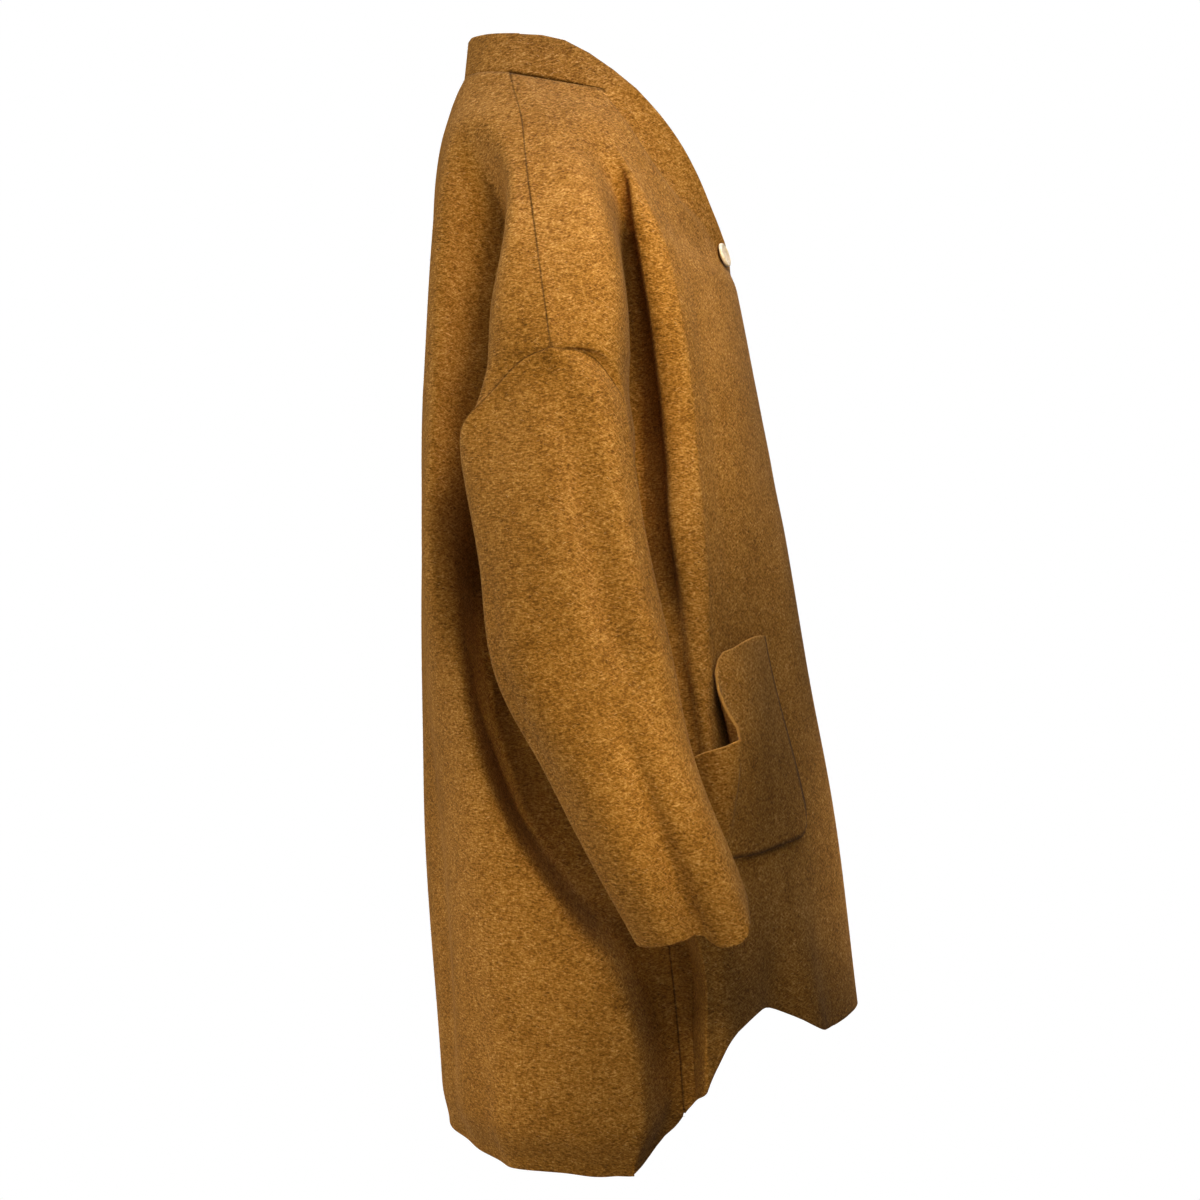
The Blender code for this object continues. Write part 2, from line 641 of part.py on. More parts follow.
def back_sheet():
    """The back panel, both halves in one piece."""
    sheet = Sheet()
    us = np.array(BACK_US)
    levels = panel_levels(us, BACK_HEM)
    half = folded(plain_back, BACK_FOLDS, levels.ravel(), np.tile(us, len(levels)), -1.0)
    half = half.reshape(len(levels), len(us), 3)
    nape = neckline(us)
    neck_rows = [nape]
    for step in NECK_STEPS:
        row = nape + (half[0] - nape) * step
        row += np.outer(us, seam_points(step * DART_LEVEL, "back")[0] - row[-1])
        neck_rows.append(row)
    flip = np.array((-1.0, 1.0, 1.0))
    rows = [sheet.add(np.vstack((row[:0:-1] * flip, row))) for row in neck_rows + list(half)]
    last = len(us) - 1
    for upper, lower in zip(rows, rows[1:]):
        sheet.join(upper[last:], lower[last:], True)
        sheet.join(upper[last::-1], lower[last::-1], False)
    sheet.mark(("nape", "both"), rows[0][last])
    for name, column, way in (("right", 0, -1), ("left", -1, 1)):
        for place in range(1, last):
            sheet.mark(("nape", name, place), rows[0][last + way * place])
        sheet.mark(("neck", name), rows[0][column])
        for place in range(1, len(neck_rows)):
            sheet.mark(("wedge", name, place), rows[place][column])
        mark_outer_seam(sheet, rows[len(neck_rows):], column, name, "back")
    return sheet


def sleeve_ring(share):
    """Centre, outward and forward directions and half sizes of the sleeve at a share of its length."""
    drop = SLEEVE_TOP_DROP + (SLEEVE_END_DROP - SLEEVE_TOP_DROP) * share
    near = read(SLEEVE, "drop", [drop - 0.004, drop, drop + 0.004])
    drops = np.clip([drop - 0.004, drop, drop + 0.004], SLEEVE_TOP_DROP, SLEEVE_END_DROP)
    centres = np.column_stack((near["x"], near["y"], -drops))
    axis = centres[2] - centres[0]
    axis /= np.linalg.norm(axis)
    out = np.array((1.0, 0.0, 0.0)) - axis * axis[0]
    out /= np.linalg.norm(out)
    return centres[1], out, np.cross(axis, out), near["deep"][1], near["wide"][1]


def sleeve_points(ring, seam_angles, even_angles, seam_offsets, share):
    """One ring of the sleeve. Near the armhole it keeps the shape of the seam."""
    centre, out, forward, deep, wide = ring
    way = ease(share / CAP_FADE)
    angles = seam_angles + (even_angles - seam_angles) * way
    degrees = np.degrees(angles)
    lift = np.zeros(len(angles))
    for from_a, to_a, start, end, width, depth in zip(*SLEEVE_FOLDS.values()):
        along = np.clip((share - start) / (end - start), 0.0, 1.0)
        apart = (degrees - (from_a + (to_a - from_a) * along) + 180.0) % 360.0 - 180.0
        lift += depth * ease(along) * np.exp(-((apart / width) ** 2))
    across = np.outer((wide + lift) * np.cos(angles), out)
    points = centre + across + np.outer((deep + lift) * np.sin(angles), forward)
    past = read(CUFF, "angle", (degrees + 180.0) % 360.0 - 180.0)["past"]
    past *= ease((share - CUFF_FROM_SHARE) / (1.0 - CUFF_FROM_SHARE))
    points += np.outer(past, np.cross(out, forward))
    return points + seam_offsets * (1.0 - way)


def sleeve_sheet(side):
    """A one-piece sleeve from the armhole seam to the open cuff."""
    sheet = Sheet()
    levels = np.array(ARMHOLE_LEVELS + (UNDERARM_LEVEL,))
    front = seam_points(levels, "front")
    back = seam_points(levels[1:-1], "back")[::-1]
    seam = np.vstack((front, back))
    centre, out, forward, deep, wide = sleeve_ring(0.0)
    angles = np.arctan2((seam - centre) @ forward / deep, (seam - centre) @ out / wide)
    angles = np.where(angles < angles[0] - 1e-9, angles + 2.0 * np.pi, angles)
    half = len(front) - 1
    even = np.concatenate((
        np.linspace(angles[0], np.pi, half + 1),
        np.linspace(np.pi, 2.0 * np.pi + angles[0], len(back) + 2)[1:-1],
    ))
    bare = sleeve_points((centre, out, forward, deep, wide), angles, even, np.zeros((len(seam), 3)), 0.0)
    offsets = seam - bare
    rows = []
    for share in SLEEVE_SHARES:
        ring = sleeve_ring(share)
        row = sheet.add(sleeve_points(ring, angles, even, offsets, share))
        rows.append(row + row[:1])
    for upper, lower in zip(rows, rows[1:]):
        sheet.join(upper, lower, True)
    name = side_name(side)
    sheet.mark(("cap", name), rows[0][0])
    sheet.mark(("underarm", name), rows[0][half])
    for place in range(1, half):
        sheet.mark(("armhole", name, "front", place), rows[0][place])
        sheet.mark(("armhole", name, "back", place), rows[0][len(seam) - place])
    if side == RIGHT:
        sheet.mirror()
    return sheet


def pocket_sheet(front, side):
    """A patch pocket made from the points of its front panel, moved out."""
    us = np.array(FRONT_US)
    columns = [place for place, u in enumerate(us) if POCKET_FROM_U - 1e-6 <= u <= POCKET_TO_U + 1e-6]
    points = np.array(front.points)
    square = front.normals()
    rows = np.array(front.front_rows)
    middle = int(np.argmin(np.abs(front.front_levels[:, 0] - 0.57)))
    ground = points[rows[middle, columns]]
    steps = np.linalg.norm(np.diff(ground, axis=0), axis=1)
    arc = np.concatenate(([0.0], np.cumsum(steps)))
    shares = arc / arc[-1]
    mouth = read(MOUTH, "share", shares)
    inset = np.minimum(arc, arc[-1] - arc)
    short = np.clip(1.0 - inset / POCKET_CORNER, 0.0, 1.0)
    foot = POCKET_FOOT - POCKET_CORNER * (1.0 - np.sqrt(1.0 - short * short))
    foot += POCKET_SAG * np.sin(np.pi * shares) * ease(shares * 2.0)
    sheet = Sheet()
    grid = []
    for row in range(POCKET_ROWS + 1):
        up = 1.0 - row / POCKET_ROWS
        spots = []
        for place, column in enumerate(columns):
            level = foot[place] + (mouth["drop"][place] - foot[place]) * up
            reach = front.front_levels[:, column]
            index = rows[:, column]
            base = [np.interp(level, reach, points[index, axis]) for axis in range(3)]
            away = np.array([np.interp(level, reach, square[index, axis]) for axis in range(3)])
            away /= np.linalg.norm(away)
            belly = POCKET_BELLY * np.sin(np.pi * shares[place]) * np.sin(np.pi * min(up * 0.8, 1.0))
            lift = POCKET_STANDOFF + WALL + belly + mouth["gape"][place] * up ** 2
            spot = np.array(base) + away * lift
            spot[1] -= mouth["drawn"][place] * up ** 2
            spots.append(spot)
        grid.append(sheet.add(spots))
    for upper, lower in zip(grid, grid[1:]):
        sheet.join(upper, lower, side == RIGHT)
    return sheet


def close_seams(sheets):
    """Gives the pieces that meet at a seam point one shared direction, and parts them by the gap."""
    squares = {name: sheet.normals() for name, sheet in sheets.items()}
    weights = {name: sheet.weighted_normals() for name, sheet in sheets.items()}
    pulls = {name: sheet.pulls() for name, sheet in sheets.items()}
    mitres = {name: np.ones(len(sheet.points)) for name, sheet in sheets.items()}
    shared = {}
    for name, sheet in sheets.items():
        for key, vertex in sheet.seams:
            shared.setdefault(key, []).append((name, vertex))
    found = []
    for users in shared.values():
        own = np.array([squares[name][vertex] for name, vertex in users])
        mean = np.sum([weights[name][vertex] for name, vertex in users], axis=0)
        mean /= np.linalg.norm(mean)
        mitre = min(MITRE_MOST, 1.0 / max(float((own @ mean).mean()), 0.2))
        pull = np.array([pulls[name][vertex] for name, vertex in users])
        pull -= pull.mean(axis=0)
        pull /= np.linalg.norm(pull, axis=1)[:, None]
        found += [(name, vertex, mean, mitre, away) for (name, vertex), away in zip(users, pull)]
    for name, vertex, mean, mitre, away in found:
        squares[name][vertex] = mean
        mitres[name][vertex] = mitre
        sheets[name].points[vertex] = sheets[name].points[vertex] + away * SEAM_GAP * 0.6
    return squares, mitres


def material(slot):
    name, colour, rough = slot
    made = bpy.data.materials.get(name) or bpy.data.materials.new(name)
    made.use_nodes = True
    shader = made.node_tree.nodes["Principled BSDF"]
    shader.inputs["Base Color"].default_value = colour
    shader.inputs["Roughness"].default_value = rough
    shader.inputs["Metallic"].default_value = 0.0
    made.diffuse_color = colour
    return made


def make_object(name, points, faces, slot):
    mesh = bpy.data.meshes.new(name)
    mesh.from_pydata([tuple(point) for point in points], [], faces)
    mesh.update()
    made = bpy.data.objects.new(name, mesh)
    made.data.materials.append(material(slot))
    bpy.context.scene.collection.objects.link(made)
    return made


def make_wall(name, sheet, square, mitre):
    """A closed wall: the outer face, an inner face one thickness behind it and a rim along every edge."""
    outer = np.array(sheet.points)
    inner = outer - square * (WALL * mitre)[:, None]
    count = len(outer)
    faces = list(sheet.faces)
    faces += [tuple(count + corner for corner in reversed(face)) for face in sheet.faces]
    edges = {}
    for face in sheet.faces:
        for place, corner in enumerate(face):
            edges[corner, face[(place + 1) % len(face)]] = True
    for start, end in edges:
        if (end, start) in edges:
            continue
        if tuple(outer[start, 2:0:-1].round(3)) > tuple(outer[end, 2:0:-1].round(3)):
            faces += [(start, count + start, count + end), (start, count + end, end)]
        else:
            faces += [(end, start, count + start), (end, count + start, count + end)]
    cut = []
    for face in faces:
        if len(face) == 4:
            cut += [(face[0], face[1], face[2]), (face[0], face[2], face[3])]
        else:
            cut.append(face)
    return make_object(name, np.vstack((outer, inner)), cut, WOOL)


def heights_over(front, spots, square):
    """How far the faces of a panel stand out from some spots near it, along one direction."""
    points = np.array(front.points)
    found = np.full(len(spots), -BUTTON_RADIUS)
    for face in front.faces:
        for second, third in zip(face[1:], face[2:]):
            corners = points[[face[0], second, third]]
            across = np.cross(corners[1] - corners[0], corners[2] - corners[0])
            facing = across @ square
            if facing <= 0.0:
                continue
            height = (corners[0] - spots) @ across / facing
            touch = spots + np.outer(height, square)
            inside = np.abs(height) < BUTTON_RADIUS
            for start, end in zip(corners, np.roll(corners, -1, axis=0)):
                inside &= np.cross(end - start, touch - start) @ across >= 0.0
            found = np.where(inside, np.maximum(found, height), found)
    return found


def make_button(front):
    """A turned button on the right front, just below the neck edge, on a shank down to the cloth."""
    spread = np.array([BUTTON_LEVEL, BUTTON_LEVEL, BUTTON_LEVEL - 0.008, BUTTON_LEVEL + 0.008])
    near = plain_front(spread, BUTTON_U + np.array([-0.02, 0.02, 0.0, 0.0]))
    square = np.cross(near[3] - near[2], near[1] - near[0])
    square /= np.linalg.norm(square)
    base = near[:2].mean(axis=0)
    mirror = np.array((-1.0, 1.0, 1.0))
    base, square = base * mirror, square * mirror
    first = np.cross(square, (0.0, 0.0, 1.0))
    first /= np.linalg.norm(first)
    second = np.cross(square, first)
    angles = 2.0 * np.pi * np.arange(BUTTON_SIDES) / BUTTON_SIDES
    spokes = np.outer(np.cos(angles), first) + np.outer(np.sin(angles), second)
    shares = BUTTON_PROFILE["radius_share"]
    shank = shares[-2]
    seat = heights_over(front, base + spokes * shank * BUTTON_RADIUS, square).max() + BUTTON_STANDOFF
    below = np.vstack([base + spokes * share * BUTTON_RADIUS for share in shares[4:7]])
    clear = heights_over(front, below, square).max() + BUTTON_STANDOFF
    lift = max(seat, clear - BUTTON_PROFILE["height"][5])
    turned = []
    rings = []
    for share, height in zip(*BUTTON_PROFILE.values()):
        level = seat if height == 0.0 else lift + height
        if share == 0.0:
            rings.append([len(turned)])
            turned.append(base + square * level)
            continue
        rings.append(list(range(len(turned), len(turned) + BUTTON_SIDES)))
        turned += list(base + square * level + spokes * share * BUTTON_RADIUS)
    skin = []
    for upper, lower in zip(rings, rings[1:]):
        for side in range(BUTTON_SIDES):
            after = (side + 1) % BUTTON_SIDES
            if len(upper) == 1:
                skin.append((upper[0], lower[side], lower[after]))
            elif len(lower) == 1:
                skin.append((upper[after], upper[side], lower[0]))
            else:
                skin.append((upper[side], lower[side], lower[after]))
                skin.append((upper[side], lower[after], upper[after]))
    return make_object("button", turned, skin, BUTTON_CREAM)


def build():
    for old in list(bpy.data.objects):
        bpy.data.objects.remove(old, do_unlink=True)
    sheets = {
        "back": back_sheet(),
        "front_right": front_sheet(RIGHT),
        "front_left": front_sheet(LEFT),
        "sleeve_right": sleeve_sheet(RIGHT),
        "sleeve_left": sleeve_sheet(LEFT),
    }
    squares, mitres = close_seams(sheets)
    for name, sheet in sheets.items():
        make_wall(name, sheet, squares[name], mitres[name])
    for name, side in (("right", RIGHT), ("left", LEFT)):
        pocket = pocket_sheet(sheets["front_" + name], side)
        make_wall("pocket_" + name, pocket, pocket.normals(), np.ones(len(pocket.points)))
    make_button(sheets["front_right"])


build()
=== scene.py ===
import math

import bpy
import numpy as np
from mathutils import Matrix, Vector


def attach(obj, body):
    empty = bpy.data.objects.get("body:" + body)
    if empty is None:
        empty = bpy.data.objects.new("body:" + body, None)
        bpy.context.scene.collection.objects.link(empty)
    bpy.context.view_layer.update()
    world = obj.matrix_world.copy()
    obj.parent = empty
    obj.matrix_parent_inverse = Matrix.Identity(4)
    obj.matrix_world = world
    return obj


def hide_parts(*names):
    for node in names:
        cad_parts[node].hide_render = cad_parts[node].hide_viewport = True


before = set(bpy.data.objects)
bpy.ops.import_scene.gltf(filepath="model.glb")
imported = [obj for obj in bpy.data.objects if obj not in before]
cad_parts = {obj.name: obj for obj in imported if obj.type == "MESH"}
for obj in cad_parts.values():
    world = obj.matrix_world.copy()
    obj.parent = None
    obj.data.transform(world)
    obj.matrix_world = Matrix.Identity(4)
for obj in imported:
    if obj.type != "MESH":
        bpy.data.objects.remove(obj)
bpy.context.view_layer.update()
print("frame loaded:", ", ".join(sorted(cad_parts)))

left, right = 1.0, -1.0
flip = np.array((-1.0, 1.0, 1.0))  # to the other side of the centre plane
tiny = 1e-9  # stations closer than this are one


def columns(names, *rows):
    return dict(zip(names.split(), np.array(rows, float).T))


# shape of the coat: levels are drops below the neck points, x is the distance out from the centre plane
bodyShape = {
    "dartLevel": 0.016, "capLevel": 0.262, "underarmLevel": 0.400,
    "dartU": 0.18, "ridgeU": 0.60, "valleyU": 0.75, "armU": 0.88,
    "keelPower": 1.3, "keelRound": 0.018, "creaseWay": 0.3, "chestBulge": 0.004,
    "keelWays": (0.0, 0.1, 0.2, 0.3, 0.475, 0.65, 0.825, 1.0),
    "bandLast": 0.152, "bandNone": 0.182, "lapX": 0.020,
    "bladeU": 0.45, "backValleyU": 0.65, "backArmU": 0.82, "bladeRound": 0.25, "collarNeckShare": 0.50,
    "armDropShare": 0.6,  # how far the line beside the arm drops with its seam
}
lapShape = {  # the left front runs under the right one
    "depth": 0.0046, "fullX": 0.034, "noneX": 0.085, "start": 0.078, "full": 0.112,
    "corner": 0.154, "cornerReach": 0.021, "cornerMore": 1.25,
}
bandLine = columns(
    "level edgeX edgeY creaseX creaseY",
    (0.016, 0.0900, -0.0953, 0.0925, -0.0668),
    (0.041, 0.0815, -0.1190, 0.0940, -0.0845),
    (0.062, 0.0710, -0.1355, 0.0920, -0.0990),
    (0.083, 0.0570, -0.1490, 0.0860, -0.1140),
    (0.110, 0.0360, -0.1635, 0.0690, -0.1370),
    (0.127, 0.0210, -0.1725, 0.0480, -0.1560),
    (0.141, 0.0030, -0.1797, 0.0285, -0.1665),
    (0.152, -0.0080, -0.1828, 0.0230, -0.1715),
    (0.164, -0.0160, -0.1857, 0.0230, -0.1770),
    (0.180, -0.0200, -0.1890, 0.0350, -0.1850),
)
frontLine = columns(
    "level frontY ridgeX ridgeY valleyX valleyY armX armY",
    (0.016, -0.0953, 0.1000, -0.0250, 0.1020, -0.0120, 0.1025, 0.0000),
    (0.050, -0.1260, 0.1260, -0.0680, 0.1360, -0.0450, 0.1400, -0.0200),
    (0.083, -0.1490, 0.1430, -0.0840, 0.1520, -0.0640, 0.1660, -0.0370),
    (0.110, -0.1635, 0.1530, -0.0965, 0.1500, -0.0730, 0.1870, -0.0490),
    (0.141, -0.1797, 0.1600, -0.1075, 0.1420, -0.0830, 0.2070, -0.0630),
    (0.168, -0.1870, 0.1630, -0.1170, 0.1320, -0.0880, 0.2190, -0.0700),
    (0.220, -0.1990, 0.1680, -0.1285, 0.1200, -0.0920, 0.2340, -0.0775),
    (0.262, -0.2075, 0.1700, -0.1350, 0.1140, -0.0930, 0.2400, -0.0800),
    (0.277, -0.2105, 0.1700, -0.1370, 0.1130, -0.0935, 0.2360, -0.0820),
    (0.295, -0.2138, 0.1705, -0.1395, 0.1130, -0.0940, 0.2240, -0.0850),
    (0.327, -0.2198, 0.1720, -0.1425, 0.1130, -0.0960, 0.1950, -0.0915),
    (0.358, -0.2250, 0.1750, -0.1455, 0.1180, -0.0980, 0.1660, -0.0910),
    (0.400, -0.2330, 0.1780, -0.1485, 0.1260, -0.1000, 0.1650, -0.0720),
    (0.440, -0.2396, 0.1815, -0.1510, 0.1420, -0.1050, 0.1770, -0.0800),
    (0.520, -0.2530, 0.1880, -0.1525, 0.1820, -0.1240, 0.1940, -0.1050),
    (0.640, -0.2746, 0.1940, -0.1660, 0.2040, -0.1420, 0.2085, -0.1240),
    (0.760, -0.2920, 0.1980, -0.1760, 0.2100, -0.1530, 0.2140, -0.1380),
    (0.880, -0.3085, 0.2010, -0.1830, 0.2120, -0.1610, 0.2160, -0.1470),
    (0.960, -0.3190, 0.2020, -0.1870, 0.2130, -0.1650, 0.2165, -0.1510),
)
backLine = columns(
    "level centreY bladeX bladeY valleyX valleyY armX armY",
    (0.016, 0.0697, 0.0520, 0.0620, 0.0730, 0.0500, 0.0910, 0.0320),
    (0.050, 0.0790, 0.0800, 0.0680, 0.1040, 0.0510, 0.1250, 0.0285),
    (0.083, 0.0840, 0.0940, 0.0710, 0.1080, 0.0400, 0.1520, 0.0195),
    (0.110, 0.0860, 0.1030, 0.0720, 0.1120, 0.0280, 0.1740, 0.0135),
    (0.150, 0.0873, 0.1100, 0.0730, 0.1120, 0.0200, 0.1985, 0.0115),
    (0.220, 0.0903, 0.1180, 0.0760, 0.1160, 0.0260, 0.2200, 0.0225),
    (0.262, 0.0938, 0.1210, 0.0780, 0.1220, 0.0360, 0.2240, 0.0280),
    (0.277, 0.0950, 0.1225, 0.0785, 0.1230, 0.0385, 0.2220, 0.0310),
    (0.295, 0.0959, 0.1240, 0.0790, 0.1210, 0.0410, 0.2150, 0.0370),
    (0.327, 0.0970, 0.1270, 0.0800, 0.1160, 0.0430, 0.1860, 0.0440),
    (0.358, 0.0976, 0.1300, 0.0805, 0.1120, 0.0400, 0.1600, 0.0380),
    (0.400, 0.0981, 0.1320, 0.0800, 0.1130, 0.0360, 0.1520, 0.0120),
    (0.440, 0.0981, 0.1340, 0.0790, 0.1280, 0.0340, 0.1660, 0.0000),
    (0.520, 0.0978, 0.1360, 0.0750, 0.1680, 0.0360, 0.1965, -0.0150),
    (0.640, 0.0944, 0.1360, 0.0670, 0.1850, 0.0330, 0.2100, -0.0300),
    (0.760, 0.0880, 0.1330, 0.0580, 0.1870, 0.0265, 0.2170, -0.0400),
    (0.880, 0.0820, 0.1270, 0.0500, 0.1860, 0.0205, 0.2200, -0.0450),
    (0.960, 0.0780, 0.1250, 0.0455, 0.1850, 0.0180, 0.2205, -0.0470),
)
shoulderSeam = columns(
    "level x y drop",
    (0.000, 0.0850, 0.0150, 0.000),
    (0.016, 0.1010, 0.0115, 0.016),
    (0.050, 0.1350, 0.0030, 0.050),
    (0.083, 0.1640, -0.0010, 0.083),
    (0.110, 0.1840, -0.0040, 0.110),
    (0.150, 0.2110, -0.0095, 0.150),
    (0.200, 0.2385, -0.0165, 0.200),
    (0.262, 0.2600, -0.0250, 0.262),
)
armholeSeam = columns(
    "level frontX frontY frontDrop backX backY backDrop",
    (0.262, 0.2600, -0.0250, 0.2620, 0.2600, -0.0250, 0.2620),
    (0.277, 0.2525, -0.0550, 0.2670, 0.2490, -0.0020, 0.2710),
    (0.295, 0.2430, -0.0775, 0.2915, 0.2400, 0.0225, 0.2950),
    (0.327, 0.2280, -0.0870, 0.3270, 0.2270, 0.0490, 0.3270),
    (0.358, 0.1900, -0.0830, 0.3620, 0.1920, 0.0370, 0.3640),
    (0.400, 0.1780, -0.0220, 0.4000, 0.1780, -0.0220, 0.4000),
)
sideSeam = columns(
    "level x y",
    (0.400, 0.1780, -0.0220),
    (0.440, 0.1860, -0.0390),
    (0.520, 0.1985, -0.0750),
    (0.640, 0.2105, -0.1040),
    (0.760, 0.2155, -0.1230),
    (0.880, 0.2170, -0.1335),
    (0.960, 0.2170, -0.1370),
)
frontHem = columns(
    "u drop",
    (0.00, 0.8290), (0.15, 0.8310), (0.22, 0.8330), (0.28, 0.8342), (0.33, 0.8325), (0.37, 0.8265), (0.41, 0.8165),
    (0.48, 0.8040), (0.60, 0.8145), (0.66, 0.8250), (0.72, 0.8370), (0.80, 0.8530), (0.88, 0.8700), (1.00, 0.8860),
)
backHem = columns(
    "u drop",
    (0.00, 0.9350), (0.30, 0.9350), (0.50, 0.9350), (0.65, 0.9325), (0.78, 0.9290), (0.88, 0.9300), (0.95, 0.9230),
    (0.98, 0.9040), (1.00, 0.8860),
)
neckLine = columns(
    "share x y drop",
    (0.00, 0.000, 0.0605, -0.0110),
    (0.35, 0.036, 0.0550, -0.0095),
    (0.70, 0.067, 0.0370, -0.0050),
    (1.00, 0.085, 0.0150, 0.0000),
)
collarEdge = columns(
    "share x y drop",
    (0.00, 0.0000, 0.0565, -0.0490),
    (0.20, 0.0340, 0.0490, -0.0440),
    (0.40, 0.0620, 0.0260, -0.0395),
    (0.55, 0.0745, -0.0030, -0.0355),
    (0.70, 0.0800, -0.0330, -0.0285),
    (0.85, 0.0850, -0.0650, -0.0090),
    (1.00, 0.0900, -0.0953, 0.0160),
)
frontFolds = columns(
    "fromU toU fromLevel toLevel widthU depth",
    (0.37, 0.36, 0.690, 0.860, 0.050, 0.009),
    (0.46, 0.47, 0.690, 0.860, 0.055, -0.012),
)
backFolds = columns(
    "fromU toU fromLevel toLevel widthU depth",
    (0.36, 0.28, 0.420, 0.940, 0.110, -0.006),
    (0.62, 0.56, 0.520, 0.940, 0.080, -0.006),
)
underarmTuck = columns(
    "level depth backY backWidth frontY frontWidth",
    (0.400, 0.000, 0.064, 0.020, -0.118, 0.030),
    (0.430, 0.022, 0.063, 0.020, -0.118, 0.030),
    (0.460, 0.042, 0.060, 0.020, -0.118, 0.030),
    (0.500, 0.056, 0.055, 0.020, -0.112, 0.026),
    (0.600, 0.062, 0.035, 0.021, -0.106, 0.020),
    (0.640, 0.060, 0.020, 0.022, -0.108, 0.019),
    (0.700, 0.052, -0.020, 0.024, -0.128, 0.015),
    (0.760, 0.046, -0.068, 0.026, -0.149, 0.010),
    (0.820, 0.040, -0.090, 0.028, -0.151, 0.009),
    (0.960, 0.032, -0.096, 0.030, -0.152, 0.009),
)
sleeveRings = columns(
    "drop x y deep wide",
    (0.335, 0.226, -0.0195, 0.0640, 0.0450),
    (0.4235, 0.249, -0.0340, 0.0665, 0.0465),
    (0.501, 0.264, -0.0493, 0.0690, 0.0475),
    (0.579, 0.272, -0.0763, 0.0590, 0.0470),
    (0.658, 0.2745, -0.1105, 0.0515, 0.0430),
    (0.720, 0.272, -0.1390, 0.0463, 0.0380),
)
sleeveFolds = columns(
    "fromAngle toAngle fromShare toShare widthAngle depth",
    (18.0, -3.0, 0.50, 1.10, 17.0, -0.013),
    (50.0, 38.0, 0.50, 1.10, 19.0, 0.009),
)
cuffEdge = columns(
    "angle past",
    (-200.0, -0.006), (-135.0, -0.008), (-90.0, -0.010), (-45.0, -0.007), (-12.0, -0.003), (0.0, -0.001),
    (10.0, 0.009), (24.0, 0.015), (50.0, 0.010), (80.0, -0.005), (110.0, -0.008), (160.0, -0.006), (200.0, -0.006),
)
pocketMouth = columns(
    "share drop gape drawn",
    (0.000, 0.4940, 0.0000, 0.000),
    (0.158, 0.4945, 0.0015, 0.000),
    (0.320, 0.4980, 0.0015, 0.000),
    (0.459, 0.5040, 0.0020, -0.002),
    (0.564, 0.5130, 0.0040, -0.009),
    (0.629, 0.5380, 0.0100, -0.013),
    (0.680, 0.5790, 0.0200, 0.003),
    (0.720, 0.5850, 0.0180, 0.009),
    (0.767, 0.5940, 0.0120, 0.001),
    (0.830, 0.6000, 0.0060, 0.000),
    (1.000, 0.6060, 0.0000, 0.000),
)


def soften(share):
    held = np.clip(share, 0.0, 1.0)
    return held * held * (3.0 - 2.0 * held)


def eased(value, none, full):  # 0 at one value, 1 at the other
    return soften((value - none) / (full - none))


def unit(vectors):
    return vectors / np.maximum(np.linalg.norm(vectors, axis=-1, keepdims=True), 1e-12)


def pointsAt(x, y, drop):
    return np.column_stack((x, y, -drop))


def curveThrough(stations, values, at):  # smooth line, values may differ from one reading to the next
    stations = np.asarray(stations, float)
    at = np.clip(np.atleast_1d(np.asarray(at, float)), stations[0], stations[-1])
    values = np.asarray(values, float)
    shared = values.ndim == 1
    slopes = np.gradient(values, stations, axis=0 if shared else 1)
    low = np.clip(np.searchsorted(stations, at, side="right") - 1, 0, len(stations) - 2)
    span = stations[low + 1] - stations[low]
    t = (at - stations[low]) / span
    if shared:
        ends = values[low], values[low + 1], slopes[low], slopes[low + 1]
    else:
        each = np.arange(len(at))
        ends = values[each, low], values[each, low + 1], slopes[each, low], slopes[each, low + 1]
        t, span = t[:, None], span[:, None]
    rise = t * t * (3.0 - 2.0 * t)
    startPull = t * (1.0 - t) ** 2 * span
    endPull = -t * t * (1.0 - t) * span
    return ends[0] * (1.0 - rise) + ends[1] * rise + ends[2] * startPull + ends[3] * endPull


def readAll(table, key, at):
    return {name: curveThrough(table[key], column, at) for name, column in table.items()}


def seamPoints(levels, panel):
    levels = np.atleast_1d(np.asarray(levels, float))
    found = np.zeros((len(levels), 3))
    onShoulder = levels <= bodyShape["capLevel"]
    onSide = levels >= bodyShape["underarmLevel"]
    onArm = ~onShoulder & ~onSide
    at = readAll(shoulderSeam, "level", levels[onShoulder])
    found[onShoulder] = pointsAt(at["x"], at["y"], at["drop"])
    at = readAll(armholeSeam, "level", levels[onArm])
    found[onArm] = pointsAt(at[panel + "X"], at[panel + "Y"], at[panel + "Drop"])
    at = readAll(sideSeam, "level", levels[onSide])
    found[onSide] = pointsAt(at["x"], at["y"], levels[onSide])
    return found


def keel(x):
    rounding, power = bodyShape["keelRound"], bodyShape["keelPower"]
    return (x * x + rounding ** 2) ** (0.5 * power) - rounding ** power


def besideArm(seam, levels):
    share = bodyShape["armDropShare"]
    return (1.0 - share) * levels - share * seam[:, 2]


